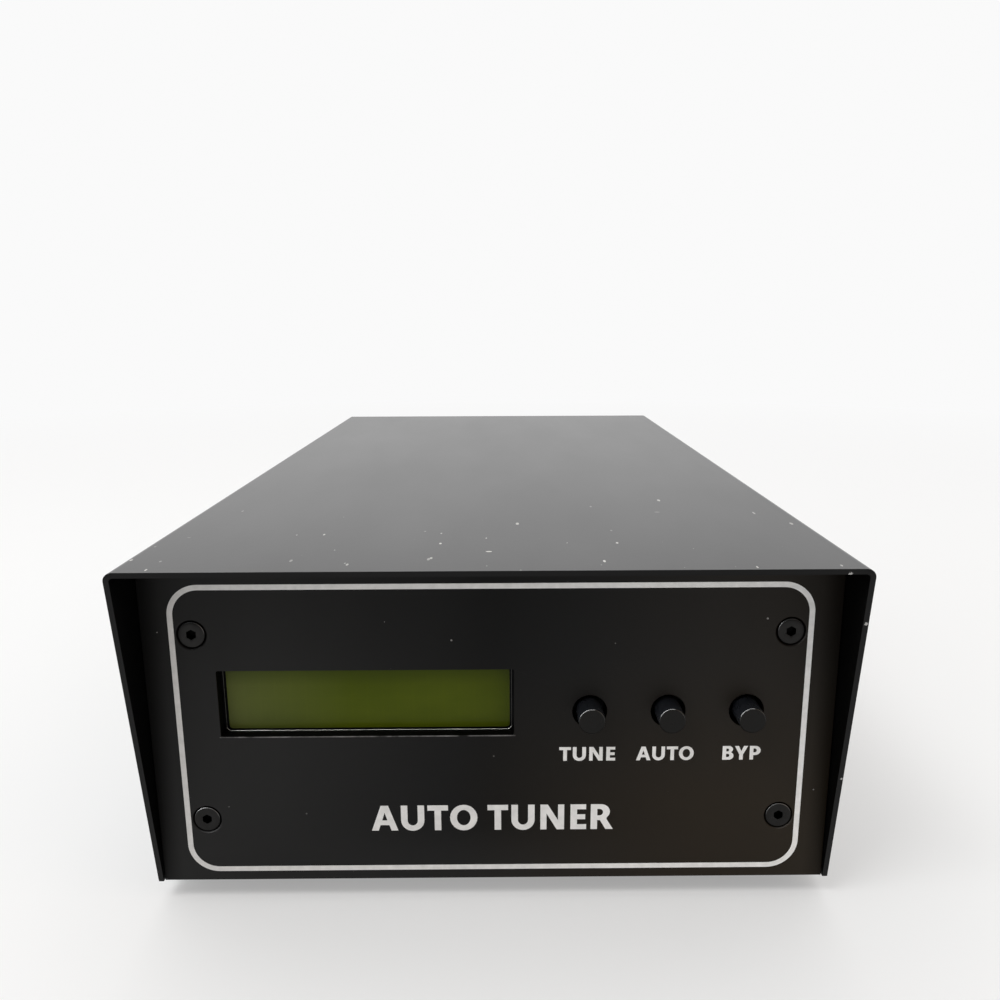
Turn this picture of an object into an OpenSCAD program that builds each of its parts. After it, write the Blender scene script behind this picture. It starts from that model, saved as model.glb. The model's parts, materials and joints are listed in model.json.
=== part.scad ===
// Automatic antenna tuner in a two-piece sheet aluminium case.
// Front faces -Y, rear faces +Y, +Z up. The origin is the bottom centre of the whole object, on the
// plane that the rubber feet stand on. The sub-part modules draw in case coordinates: y counts
// rearwards from the tip of the hood, and z counts upwards from the underside of the case.

/* [Case] */
// Outer width of the case
case_w = 160; // [150:1:180]
// Length of the top cover, from hood tip to rear edge
case_l = 300; // [290:1:340]
// Height of the case without its feet
case_h = 80; // [78:1:100]
// Sheet thickness of the top cover
cover_t = 1.2; // [1:0.1:1.6]
// Outside radius of the top cover's bends
bend_r = 2; // [1.8:0.1:3]
// Sheet thickness of the chassis
chassis_t = 1.2; // [1:0.1:1.5]
// Height of the rubber feet
foot_h = 5; // [4:0.5:8]

/* [Front panel] */
// Distance from the hood tip back to the face of the front panel
panel_recess = 12.4; // [10:0.2:16]
// Distance that the hood's side edges slant back from top to bottom
hood_slant = 11.9; // [6:0.1:12]
// Thickness of the front panel
panel_t = 3; // [2.5:0.1:3.5]
// Horizontal distance between the front panel's screws
panel_screw_dx = 134.8; // [134:0.2:136]
// Height of the lower pair of panel screws
panel_screw_low = 16; // [14:0.5:18]
// Height of the upper pair of panel screws
panel_screw_high = 61.9; // [60:0.1:64]

/* [Display] */
// Width of the display window
window_w = 67.5; // [66:0.1:69]
// Height of the display window
window_h = 16.2; // [15:0.1:17]
// Sideways place of the window's centre
window_x = -28.8; // [-32:0.1:-28]
// Height of the window's centre
window_z = 45.1; // [44:0.1:47]

/* [Buttons] */
// Diameter of the button caps
cap_d = 6; // [5:0.1:6.5]
// Diameter of the panel's holes for the caps
cap_hole_d = 8; // [7.5:0.1:9]
// Length of cap that stands out of the panel
cap_out = 5.5; // [4:0.1:7]
// Travel of a button from released to pressed
cap_travel = 1.5; // [0.5:0.1:1.5]
// Distance from one button to the next
cap_pitch = 18; // [17:0.1:19]
// Sideways place of the first button
cap_x = 22.3; // [21:0.1:24]
// Height of the row of buttons
cap_z = 42.8; // [40:0.1:46]

/* [Rear panel] */
// Sideways distance of the two coaxial sockets from the middle
socket_x = 48; // [40:1:52]
// Height of the coaxial sockets
socket_z = 46; // [40:1:52]
// Outside diameter of a socket's threaded barrel
socket_d = 15.88; // [15.8:0.01:16]
// Length of a socket's threaded barrel
socket_l = 11.5; // [10:0.5:13]
// Sideways place of the power switch
power_x = -14; // [-18:1:-10]
// Sideways place of the supply jack
jack_x = 14; // [12:1:18]
// Height of the power switch and the supply jack
power_z = 50; // [46:1:54]
// Tilt of the rocker to each side of its middle
rocker_tilt = 10; // [6:1:12]
// Height of the ground stud
ground_z = 22; // [20:1:26]

/* [Electronics] */
// Width of the main circuit board
board_w = 140; // [138:1:142]
// Length of the main circuit board
board_l = 222; // [220:1:224]
// Outside diameter of the large toroid cores
toroid_d = 50.8; // [44:0.4:51]
// Diameter of the wire on the large toroids
toroid_wire = 1.3; // [1:0.1:1.5]
// Turns on each of the four large toroids
toroid_turns = [10, 14, 18, 23]; // [6:1:24]

/* [Hidden] */
$fn = 48;

// Case layout
fit_gap = 0.2;                              // between the chassis and the cover around it
chassis_w = case_w - 2 * cover_t - 2 * fit_gap;
inner_h = case_h - cover_t - fit_gap;       // top of the chassis walls
wall_y = panel_recess + panel_t;            // front face of the chassis front wall
wall_in = wall_y + chassis_t;               // inner face of the chassis front wall
rear_y = case_l - 1;                        // rear face of the chassis rear wall
rear_in = rear_y - chassis_t;               // inner face of the chassis rear wall
lip = 12;                                   // depth of the stiffening lips on the chassis walls
flange_h = 13;                              // height of the chassis side flanges
flange_y = [24, rear_y - 8];                // where the side flanges start and end
fold_r = chassis_t + 0.6;                   // outside radius of the chassis bends
corner_r = 1;                               // upper corners that sit inside the cover's bends
side_screw_y = [46, 150, case_l - 44];
side_screw_z = 7;
foot_xy = [for (x = [-1, 1], y = [34, case_l - 26]) [x * 62, y]];
foot_r = 8;
panel_screws = [for (x = [-1, 1], z = [panel_screw_low, panel_screw_high]) [x * panel_screw_dx / 2, z]];
button_x = [cap_x, cap_x + cap_pitch, cap_x + 2 * cap_pitch];

// M3 hardware
m3_r = 1.45;                                // shank radius, just under its hole
m3_bore = 1.5;                              // tapped hole
m3_hole = 1.7;                              // clearance hole
m3_flat = 5.5;                              // across the flats of nuts and standoffs
head_r = 2.75;
head_h = 1.8;
nut_h = 2.4;
clinch_r = 3.1;
clinch_h = 1.6;

// Display stack, front to back
lcd_y = wall_y + 0.05;                      // face of the metal bezel, behind the panel
lcd_size = [71.3, 26.4];
lcd_board_size = [80, 36];
lcd_board_y = lcd_y + 6.5;
board_t = 1.6;
lcd_holes = [for (x = [-1, 1], z = [-1, 1]) [window_x + x * 37.5, window_z + z * 15.5]];
header_pins = 16;
header_pitch = 2.54;
header_x = window_x - 30;                   // first pin
header_z = window_z + 15.5;

// Front board and switches
front_board_y = lcd_board_y + board_t + 5.4;
front_board_w = 144;
front_board_z = [19.5, 72];
front_standoffs = [for (x = [-1, 1], z = [23.5, 68]) [x * 60, z]];
switch_w = 8.4;
switch_l = 7.5;
switch_y = front_board_y - switch_l;        // front face of the switch bodies
cap_tip = panel_recess - cap_out;           // front face of the caps
cap_back = switch_y - cap_travel - 0.3;     // rear end of the caps
plunger_r = 1.5;
plunger_y = [cap_tip + 4, switch_y + 2.4];  // plunger rod, from inside the cap to its collar
collar_t = 0.8;
spring_y = [plunger_y[1] + collar_t, front_board_y - 0.8];
spring_r = 1.9;
spring_wire = 0.22;
spring_turns = 4;

// Main board
board_y = 42;
board_z = chassis_t + 8;
board_top = board_z + board_t;
main_standoffs = [for (x = [-1, 1], y = [6, board_l / 2, board_l - 6]) [x * 66, board_y + y]];
relay = [29, 12.7, 15.7];
relay_y = [for (i = [0:6]) board_y + 22 + i * 25];
relay_pitch = 29.3;                         // between the relays along the left side
toroid_x = 39;
toroid_y = [for (i = [0:3]) board_y + 28 + i * 25];
toroid_core = [toroid_d / 2, toroid_d * 0.313, 14];  // outer radius, inner radius, width
toroid_z = board_top + toroid_core[0] + toroid_wire + 0.3;
coil_wire_r = 1;
coil_r = 10;
coil_z = board_top + coil_r + coil_wire_r + 0.2;
coil_starts = [board_y + 118, board_y + 138, board_y + 165];
coil_turns = [4, 6, 7];
coil_pitch = 3.6;

// Ribbon between the boards
ribbon_x = [34, 62];
ribbon_z = 45;
ribbon_bend = 5;
ribbon_t = 1;
ribbon_y = board_y + 8;                     // main board header

// Rear panel fittings
flange_w = 25.4;
flange_t = 1.6;
socket_bore = 5.75;
socket_tip = rear_y + flange_t + socket_l;
socket_hole = 9.13;                         // screw offset from the socket's axis
contact_r = 3;
contact_bore = 2;
stud_r = 2;
stud_tip = rear_y + 13;
wing_y = rear_y + 1.9;                      // inner face of the wing nut
jack_bore = 2.85;
jack_depth = 9.5;
jack_face = rear_y + 2;
switch_cut = [13, 19.2];
pivot_y = rear_y - 0.6;                     // rocker axis

total_l = socket_tip;
tip_y = -total_l / 2;

// ---- helpers ----

// Puts a sub-part from case coordinates into the frame of the whole object.
module place() translate([0, tip_y, foot_h]) children();

// Turns a shape drawn along +Z so that it points rearwards from a point.
module rearward(x, y, z) translate([x, y, z]) rotate([-90, 0, 0]) children();

// Turns a shape drawn along +Z so that it points to the front from a point.
module frontward(x, y, z) translate([x, y, z]) rotate([90, 0, 0]) children();

// Flat rectangle with rounded corners, centred.
module rounded_rect(w, h, r) {
    square([w - 2 * r, h], center = true);
    square([w, h - 2 * r], center = true);
    for (x = [-1, 1], y = [-1, 1]) translate([x * (w / 2 - r), y * (h / 2 - r)]) circle(r);
}

// Rectangle standing on the x axis whose two upper corners are rounded.
module round_top(w, h, r) {
    translate([-w / 2, 0]) square([w, h - r]);
    translate([r - w / 2, 0]) square([w - 2 * r, h]);
    for (x = [-1, 1]) translate([x * (w / 2 - r), h - r]) circle(r);
}

// Cylinder pointing rearwards from y0 to y1.
module rod(x, z, r, y0, y1) rearward(x, y0, z) cylinder(h = y1 - y0, r = r);

// Hexagonal column, flats across_flats apart, along +Z.
module hex(across_flats, h) cylinder(h = h, r = across_flats / sqrt(3), $fn = 6);

// Pan head screw along -Z whose head stands on z = 0, with a cross recess.
module pan_screw(length) {
    difference() {
        rotate_extrude() difference() {
            union() {
                square([head_r, head_h - 0.7]);
                square([head_r - 0.7, head_h]);
                translate([head_r - 0.7, head_h - 0.7]) circle(0.7);
            }
            translate([-1, 0]) square([1, head_h]);
        }
        for (a = [0, 90]) rotate(a) translate([-1.5, -0.3, head_h - 1]) cube([3, 0.6, 2]);
    }
    translate([0, 0, -length]) cylinder(h = length, r = m3_r);
}

// Countersunk hex socket screw along -Z with its face on z = 0.
module countersunk_screw(length, face_r) {
    difference() {
        union() {
            translate([0, 0, -0.3]) cylinder(h = 0.3, r = face_r);
            translate([0, 0, m3_r - face_r - 0.3]) cylinder(h = face_r - m3_r, r1 = m3_r, r2 = face_r);
            translate([0, 0, -length]) cylinder(h = length, r = m3_r);
        }
        translate([0, 0, -1.6]) hex(2, 2);
    }
}

// Nut or tube: hexagonal outside, round bore.
module hex_tube(length) difference() {
    hex(m3_flat, length);
    translate([0, 0, -1]) cylinder(h = length + 2, r = m3_bore);
}

// Nut pressed into a sheet: the shank fills the sheet below z = 0, the collar stands above it.
module clinch_nut(sheet) difference() {
    union() {
        cylinder(h = clinch_h, r = clinch_r);
        translate([0, 0, -sheet]) cylinder(h = sheet, r = 2.05);
    }
    translate([0, 0, -sheet - 1]) cylinder(h = sheet + clinch_h + 2, r = m3_bore);
}

// Ring points for a round wire that follows a helix around the y axis.
function helix_point(r, pitch, a) = [r * cos(a), pitch * a / 360, r * sin(a)];
function helix_ring(r, pitch, wire, sides, a) =
    let (out = [cos(a), 0, sin(a)],
         run = [-r * sin(a), pitch / (2 * PI), r * cos(a)],
         side = cross(run / norm(run), out))
    [for (i = [0:sides - 1]) helix_point(r, pitch, a)
        + wire * (cos(360 * i / sides) * out + sin(360 * i / sides) * side)];

// Solid round wire wound as a helix around the y axis, starting at y = 0.
module helix(r, pitch, turns, wire, steps, sides) {
    rings = turns * steps;
    points = [for (k = [0:rings]) each helix_ring(r, pitch, wire, sides, 360 * k / steps)];
    walls = [for (k = [0:rings - 1], i = [0:sides - 1]) let (j = (i + 1) % sides)
        [k * sides + i, k * sides + j, (k + 1) * sides + j, (k + 1) * sides + i]];
    ends = [[for (i = [sides - 1:-1:0]) i], [for (i = [0:sides - 1]) rings * sides + i]];
    polyhedron(points = points, faces = concat(walls, ends));
}

// Wire in a plane of constant x: forward from y0 at height z0, one bend, then down to z1 at y1.
module bent_wire(x, y0, z0, y1, z1, r, bend) {
    rod(x, z0, r, y1 + bend, y0);
    translate([x, y1 + bend, z0 - bend]) rotate([0, 90, 0]) rotate([0, 0, 180])
        rotate_extrude(angle = 90) translate([bend, 0]) circle(r);
    translate([x, y1, z1]) cylinder(h = z0 - bend - z1, r = r);
}

// ---- case ----

module top_cover() color("#1d1e1f") difference() {
    translate([0, case_l, 0]) rotate([90, 0, 0]) linear_extrude(case_l) difference() {
        round_top(case_w, case_h, bend_r);
        translate([0, -1]) round_top(case_w - 2 * cover_t, case_h - cover_t + 1, bend_r - cover_t);
    }
    // slanted front edges of the hood's sides
    translate([-case_w, 0, 0]) rotate([90, 0, 90]) linear_extrude(2 * case_w)
        polygon([[-1, case_h - cover_t], [0, case_h - cover_t], [hood_slant, 0],
                 [hood_slant, -1], [-1, -1]]);
    for (y = side_screw_y)
        translate([-case_w, y, side_screw_z]) rotate([0, 90, 0]) cylinder(h = 2 * case_w, r = m3_hole);
}

// Floor, walls and lips as one folded strip, seen from the side.
module chassis_profile() difference() {
    translate([(wall_y + rear_y) / 2, inner_h / 2]) rounded_rect(rear_y - wall_y, inner_h, fold_r);
    translate([(wall_y + rear_y) / 2, inner_h / 2])
        rounded_rect(rear_y - wall_y - 2 * chassis_t, inner_h - 2 * chassis_t, fold_r - chassis_t);
    translate([wall_y + lip, inner_h / 2]) square([rear_y - wall_y - 2 * lip, inner_h]);
}

module chassis() color("#232425") difference() {
    union() {
        intersection() {
            rotate([90, 0, 90]) translate([0, 0, -chassis_w / 2]) linear_extrude(chassis_w)
                chassis_profile();
            translate([0, case_l, 0]) rotate([90, 0, 0]) linear_extrude(case_l) intersection() {
                translate([0, case_h]) mirror([0, 1]) round_top(chassis_w, case_h, fold_r);
                round_top(chassis_w, inner_h, corner_r);
            }
        }
        translate([0, flange_y[1], flange_h]) rotate([90, 0, 0])
            linear_extrude(flange_y[1] - flange_y[0]) mirror([0, 1]) difference() {
                round_top(chassis_w, flange_h, fold_r);
                translate([0, -1])
                    round_top(chassis_w - 2 * chassis_t, flange_h - chassis_t + 1, fold_r - chassis_t);
            }
    }
    // display, cap, screw and standoff holes of the front wall
    translate([window_x, wall_in + 1, window_z]) rotate([90, 0, 0]) linear_extrude(chassis_t + 2)
        rounded_rect(lcd_size[0] + 1.7, lcd_size[1] + 1.6, 1);
    for (x = button_x) rod(x, cap_z, cap_hole_d / 2 + 1, wall_y - 1, wall_in + 1);
    for (p = panel_screws) rod(p[0], p[1], 2.1, wall_y - 1, wall_in + 1);
    // rear wall
    for (s = [-1, 1]) {
        rod(s * socket_x, socket_z, 7.4, rear_in - 1, rear_y + 1);
        for (x = [-1, 1], z = [-1, 1])
            rod(s * socket_x + x * socket_hole, socket_z + z * socket_hole, m3_hole, rear_in - 1, rear_y + 1);
    }
    rod(jack_x, power_z, 5.6, rear_in - 1, rear_y + 1);
    rod(0, ground_z, stud_r + 0.2, rear_in - 1, rear_y + 1);
    translate([power_x - switch_cut[0] / 2, rear_in - 1, power_z - switch_cut[1] / 2])
        cube([switch_cut[0], chassis_t + 2, switch_cut[1]]);
    // floor and side flanges
    for (p = foot_xy) translate([p[0], p[1], -1]) cylinder(h = chassis_t + 2, r = m3_hole);
    for (y = side_screw_y)
        translate([-case_w, y, side_screw_z]) rotate([0, 90, 0]) cylinder(h = 2 * case_w, r = 2.1);
}

module front_panel() color("#1b1c1d") difference() {
    translate([0, wall_y, 0]) rotate([90, 0, 0]) linear_extrude(panel_t)
        round_top(chassis_w, inner_h, corner_r);
    translate([window_x, wall_y + 1, window_z]) rotate([90, 0, 0]) linear_extrude(panel_t + 2)
        rounded_rect(window_w, window_h, 0.4);
    for (x = button_x) rod(x, cap_z, cap_hole_d / 2, panel_recess - 1, wall_y + 1);
    for (p = panel_screws) {
        rod(p[0], p[1], m3_hole, panel_recess - 1, wall_y + 1);
        rearward(p[0], panel_recess, p[1]) cylinder(h = 2, r1 = 3.6, r2 = 1.6);
        rod(p[0], p[1], 3.2, panel_recess - 1, panel_recess + 0.4);
    }
}

module front_panel_screws() color("#161617")
    for (p = panel_screws) frontward(p[0], panel_recess + 0.08, p[1]) countersunk_screw(8, 3);

module clinch_nuts() color("#b9bcc0") {
    for (p = panel_screws) rearward(p[0], wall_in, p[1]) clinch_nut(chassis_t);
    for (y = side_screw_y, s = [-1, 1])
        translate([s * (chassis_w / 2 - chassis_t), y, side_screw_z]) rotate([0, -90 * s, 0])
            clinch_nut(chassis_t);
}

module cover_screws() color("#1a1a1b")
    for (y = side_screw_y, s = [-1, 1])
        translate([s * case_w / 2, y, side_screw_z]) rotate([0, 90 * s, 0]) pan_screw(6);

module rubber_feet() color("#151515")
    for (p = foot_xy) translate([p[0], p[1], -foot_h]) difference() {
        cylinder(h = foot_h, r1 = foot_r - 1, r2 = foot_r);
        translate([0, 0, -1]) cylinder(h = foot_h - 1, r = 4);
        cylinder(h = foot_h + 1, r = m3_hole);
    }

module foot_screws() color("#8f9296")
    for (p = foot_xy) translate([p[0], p[1], -2]) rotate([180, 0, 0]) pan_screw(8);

module hex_nuts() color("#aeb1b5") {
    for (p = foot_xy) translate([p[0], p[1], chassis_t]) hex_tube(nut_h);
    for (s = [-1, 1], x = [-1, 1], z = [-1, 1])
        frontward(s * socket_x + x * socket_hole, rear_in, socket_z + z * socket_hole) hex_tube(nut_h);
}

module board_standoffs() color("#c9a24a") {
    for (p = front_standoffs)
        rearward(p[0], wall_in, p[1]) hex_tube(front_board_y - wall_in);
    for (p = main_standoffs)
        translate([p[0], p[1], chassis_t]) hex_tube(board_z - chassis_t);
}

module board_screws() color("#b4b7bb") {
    for (p = front_standoffs) rearward(p[0], front_board_y + board_t, p[1]) pan_screw(6);
    for (p = main_standoffs) translate([p[0], p[1], board_top]) pan_screw(6);
    for (p = lcd_holes) frontward(p[0], lcd_board_y, p[1]) scale(0.8) pan_screw(6);
}

// ---- display ----

module lcd_bezel() color("#101011") {
    depth = lcd_board_y - lcd_y;
    translate([window_x, lcd_board_y, window_z]) rotate([90, 0, 0]) difference() {
        linear_extrude(depth) rounded_rect(lcd_size[0], lcd_size[1], 0.6);
        translate([0, 0, -1]) linear_extrude(depth + 0.4)
            square([lcd_size[0] - 1, lcd_size[1] - 1], center = true);
        linear_extrude(depth + 1) rounded_rect(window_w - 1.1, window_h - 0.2, 1);
    }
}

module lcd_glass() color([0.42, 0.52, 0.10, 0.9])
    translate([window_x - 34.4, lcd_y + 0.6, window_z - 12.4]) cube([68.8, 1.1, 24.8]);

module lcd_backlight() color("#d9e6a0")
    translate([window_x - 34.4, lcd_y + 1.8, window_z - 12.4])
        cube([68.8, lcd_board_y - lcd_y - 1.9, 24.8]);

module lcd_board() color("#1f6b3a") difference() {
    translate([window_x - lcd_board_size[0] / 2, lcd_board_y, window_z - lcd_board_size[1] / 2])
        cube([lcd_board_size[0], board_t, lcd_board_size[1]]);
    for (p = lcd_holes) rod(p[0], p[1], 1.4, lcd_board_y - 1, lcd_board_y + board_t + 1);
    for (i = [0:header_pins - 1])
        rod(header_x + i * header_pitch, header_z, 0.5, lcd_board_y - 1, lcd_board_y + board_t + 1);
}

module lcd_header() color("#141415") {
    body_y = lcd_board_y + board_t;
    difference() {
        translate([header_x - 1.3, body_y, header_z - 1.25])
            cube([header_pins * header_pitch, front_board_y - body_y, 2.5]);
        for (i = [0:header_pins - 1])
            rod(header_x + i * header_pitch, header_z, 0.5, body_y - 1, front_board_y + 1);
    }
    for (i = [0:header_pins - 1])
        translate([header_x + i * header_pitch - 0.3, lcd_board_y - 0.8, header_z - 0.3])
            cube([0.6, front_board_y + board_t + 1 - lcd_board_y, 0.6]);
}

module lcd_spacers() color("#e9e9e4")
    for (p = lcd_holes) rearward(p[0], lcd_board_y + board_t, p[1]) difference() {
        hex(5, front_board_y - lcd_board_y - board_t);
        translate([0, 0, -1]) cylinder(h = 10, r = 1.25);
    }

// ---- front board, switches and buttons ----

module front_board() color("#16552f") difference() {
    translate([-front_board_w / 2, front_board_y, front_board_z[0]])
        cube([front_board_w, board_t, front_board_z[1] - front_board_z[0]]);
    for (p = front_standoffs) rod(p[0], p[1], m3_hole, front_board_y - 1, front_board_y + board_t + 1);
    for (i = [0:header_pins - 1])
        rod(header_x + i * header_pitch, header_z, 0.5, front_board_y - 1, front_board_y + board_t + 1);
}

module switch_body(x) color("#26272a") difference() {
    translate([x - switch_w / 2, switch_y, cap_z - switch_w / 2]) cube([switch_w, switch_l, switch_w]);
    rod(x, cap_z, plunger_r + 0.15, switch_y - 1, switch_y + 3);
    rod(x, cap_z, 2.7, switch_y + 1.6, spring_y[1]);
}

module button_spring(x) color("#c8cacc") translate([x, spring_y[0] + spring_wire, cap_z])
    helix(spring_r, (spring_y[1] - spring_y[0] - 2.2 * spring_wire) / spring_turns, spring_turns,
          spring_wire, 12, 5);

module button_plunger(x) color("#e6e6e0") {
    rod(x, cap_z, plunger_r, plunger_y[0], plunger_y[1] + collar_t);
    rod(x, cap_z, 2.4, plunger_y[1], plunger_y[1] + collar_t);
}

module button_cap(x) color("#1c1d20") rearward(x, cap_tip, cap_z) difference() {
    rotate_extrude() {
        r = cap_d / 2;
        edge = 0.3;
        translate([0, edge]) square([r, cap_back - cap_tip - edge]);
        square([r - edge, edge]);
        intersection() {
            translate([r - edge, edge]) circle(edge);
            square([r, edge]);
        }
    }
    translate([0, 0, plunger_y[0] - cap_tip]) cylinder(h = 20, r = plunger_r);
}

// ---- main board ----

module main_board() color("#17582f") difference() {
    translate([-board_w / 2, board_y, board_z]) cube([board_w, board_l, board_t]);
    for (p = main_standoffs) translate([p[0], p[1], board_z - 1]) cylinder(h = board_t + 2, r = m3_hole);
}

// Power relay lying along x: a base slab and a slightly smaller cover.
module power_relay() {
    cube([relay[0], relay[1], 1.5]);
    translate([0.2, 0.2, 1.4]) cube([relay[0] - 0.4, relay[1] - 0.4, relay[2] - 1.4]);
}

module inductor_relays() color("#1b2a4a")
    for (y = relay_y) translate([-20, y, board_top]) power_relay();

module capacitor_relays() color("#1b2a4a")
    for (i = [0:6]) translate([-47, board_y + 4 + i * relay_pitch, board_top]) rotate(90) power_relay();

module mica_capacitors() color("#7a3b1c")
    for (i = [0:6], j = [0, 1]) translate([-34, board_y + 17 + i * relay_pitch + j * 12, board_top]) {
        translate([0, 0, 9]) rotate([90, 0, 0]) linear_extrude(5, center = true)
            rounded_rect(14, 12, 3);
        for (x = [-4, 4]) translate([x, 0, 0]) cylinder(h = 3.4, r = 0.4);
    }

module toroid_cores() color("#a3271e")
    for (y = toroid_y) rearward(toroid_x, y - toroid_core[2] / 2, toroid_z) rotate_extrude()
        translate([(toroid_core[0] + toroid_core[1]) / 2, toroid_core[2] / 2])
            rounded_rect(toroid_core[0] - toroid_core[1], toroid_core[2], 1);

// One turn of wire around the section of a toroid core.
module toroid_turn() {
    section = toroid_core[0] - toroid_core[1];
    clear = 0.06;
    translate([(toroid_core[0] + toroid_core[1]) / 2, 0, 0]) difference() {
        cube([section + 2 * toroid_wire, toroid_wire, toroid_core[2] + 2 * toroid_wire], center = true);
        cube([section + 2 * clear, 2 * toroid_wire, toroid_core[2] + 2 * clear], center = true);
    }
}

module toroid_windings() color("#b8692a")
    for (i = [0:3], k = [0:toroid_turns[i] - 1])
        rearward(toroid_x, toroid_y[i], toroid_z)
            rotate(110 + 320 * k / (toroid_turns[i] - 1)) toroid_turn();

module air_coils() color("#b8692a")
    for (i = [0:2]) translate([toroid_x, coil_starts[i], coil_z])
        helix(coil_r, coil_pitch, coil_turns[i], coil_wire_r, 14, 6);

module swr_cores() color("#3a3b3d")
    for (x = [-14, 8]) rearward(x, board_y + 203, board_top + 12) rotate_extrude()
        translate([9, 3.5]) square([5, 7], center = true);

module rf_leads() color("#d8c9a0") {
    // through the current and voltage transformers, with both feet on the board
    for (x = [-14, 8]) {
        bent_wire(x, board_y + 210, board_top + 12, board_y + 198, board_top, 1.6, 3);
        translate([0, 2 * (board_y + 207), 0]) mirror([0, 1, 0])
            bent_wire(x, board_y + 207.5, board_top + 12, board_y + 198, board_top, 1.6, 3);
    }
    // from each socket's solder cup down to the board
    for (s = [-1, 1])
        bent_wire(s * socket_x, rear_in - 8.1, socket_z, board_y + board_l - 6, board_top, 1.6, 6);
}

module microcontroller() color("#202124") {
    translate([-22, board_y + 6, board_top]) cube([36, 10, 4]);
    translate([-21.5, board_y + 7.5, board_top + 4.2]) cube([35, 7, 3.4]);
}

module driver_chips() color("#242528")
    for (y = [12, 72]) translate([16, board_y + y, board_top]) cube([6.4, 20, 3.4]);

module voltage_regulator() color("#1e1f21") translate([-28.4, board_y + 5, board_top]) {
    translate([-5, 0, 3]) cube([10, 4.4, 9]);
    translate([-5, 0, 12]) cube([10, 1.3, 6]);
    for (x = [-2.54, 0, 2.54]) translate([x - 0.4, 2, 0]) cube([0.8, 0.5, 3]);
}

module heatsink() color("#2c2d2f") translate([-40, board_y - 1, board_top + 1]) difference() {
    cube([23, 6, 20]);
    for (i = [0:4]) translate([1.5 + i * 4.2, -1, -1]) cube([2.7, 4.5, 22]);
}

module electrolytic_capacitors() color("#23304a")
    for (p = [[24, 8], [28, 200], [38, 200]]) translate([p[0], board_y + p[1], board_top]) rotate_extrude()
        difference() {
            square([4, 12]);
            translate([4.2, 2.2]) circle(0.5);
        }

module ribbon_headers() color("#1c1c1e") {
    translate([ribbon_x[0], front_board_y + board_t, ribbon_z - 4.4])
        cube([ribbon_x[1] - ribbon_x[0], 8.8, 8.8]);
    translate([ribbon_x[0], ribbon_y - 4.4, board_top]) cube([ribbon_x[1] - ribbon_x[0], 8.8, 8.8]);
}

module ribbon_cable() color("#8c8f92") {
    start = front_board_y + board_t + 8.8;
    w = ribbon_x[1] - ribbon_x[0] - 4;
    translate([ribbon_x[0] + 2, start, ribbon_z - ribbon_t / 2])
        cube([w, ribbon_y - ribbon_bend - start, ribbon_t]);
    translate([ribbon_x[0] + 2, ribbon_y - ribbon_bend, ribbon_z - ribbon_bend]) rotate([90, 0, 90])
        linear_extrude(w) intersection() {
            difference() {
                circle(ribbon_bend + ribbon_t / 2);
                circle(ribbon_bend - ribbon_t / 2);
            }
            square(2 * ribbon_bend);
        }
    translate([ribbon_x[0] + 2, ribbon_y - ribbon_t / 2, board_top + 8.8])
        cube([w, ribbon_t, ribbon_z - ribbon_bend - board_top - 8.8]);
}

module dc_leads() color("#b3211c")
    for (x = [-1, 1]) bent_wire(jack_x + x * 3, rear_in - 11.05, power_z, board_y + board_l - 8,
                                board_top, 1, 4);

// ---- rear panel ----

// Coaxial socket shell: square flange, round barrel with a notched rim, and a boss through the wall.
module coax_socket(x) color("#c4c6c8") difference() {
    union() {
        translate([x, rear_y + flange_t, socket_z]) rotate([90, 0, 0]) linear_extrude(flange_t)
            rounded_rect(flange_w, flange_w, 1);
        rod(x, socket_z, socket_d / 2, rear_y + flange_t, socket_tip);
        rod(x, socket_z, 7.2, rear_in - 3, rear_y + 0.5);
    }
    rod(x, socket_z, socket_bore, rear_in - 4, socket_tip + 1);
    for (a = [0:90:270]) translate([x, socket_tip, socket_z]) rotate([0, a, 0])
        translate([-0.9, -1.2, 0]) cube([1.8, 3, 10]);
    for (dx = [-1, 1], dz = [-1, 1])
        rod(x + dx * socket_hole, socket_z + dz * socket_hole, m3_hole, rear_y - 1, rear_y + 3);
}

module socket_insulators() color("#f1efe6")
    for (s = [-1, 1]) difference() {
        rod(s * socket_x, socket_z, socket_bore - 0.05, rear_in - 4.6, socket_tip - 1.5);
        rod(s * socket_x, socket_z, contact_r + 0.05, rear_in - 6, socket_tip);
    }

module socket_contacts() color("#d3ad55")
    for (s = [-1, 1]) difference() {
        union() {
            rod(s * socket_x, socket_z, contact_r, rear_in - 4.6, socket_tip - 1.5);
            rod(s * socket_x, socket_z, 1.9, rear_in - 8, rear_in - 4);
        }
        rod(s * socket_x, socket_z, contact_bore, socket_tip - 12.5, socket_tip);
    }

module socket_screws() color("#b9bbbd")
    for (s = [-1, 1], x = [-1, 1], z = [-1, 1])
        rearward(s * socket_x + x * socket_hole, rear_y + flange_t, socket_z + z * socket_hole)
            pan_screw(6.5);

module dc_jack() color("#1a1a1c") difference() {
    union() {
        rod(jack_x, power_z, 6.5, rear_y, jack_face);
        rod(jack_x, power_z, 5.4, rear_in - 8, rear_y + 1);
    }
    rod(jack_x, power_z, jack_bore, jack_face - jack_depth, jack_face + 1);
    rod(jack_x, power_z, 0.8, rear_in - 9, jack_face);
}

module dc_jack_nut() color("#b9bbbd") frontward(jack_x, rear_in, power_z) difference() {
    hex(14, 2.5);
    translate([0, 0, -1]) cylinder(h = 5, r = 5.45);
}

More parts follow.
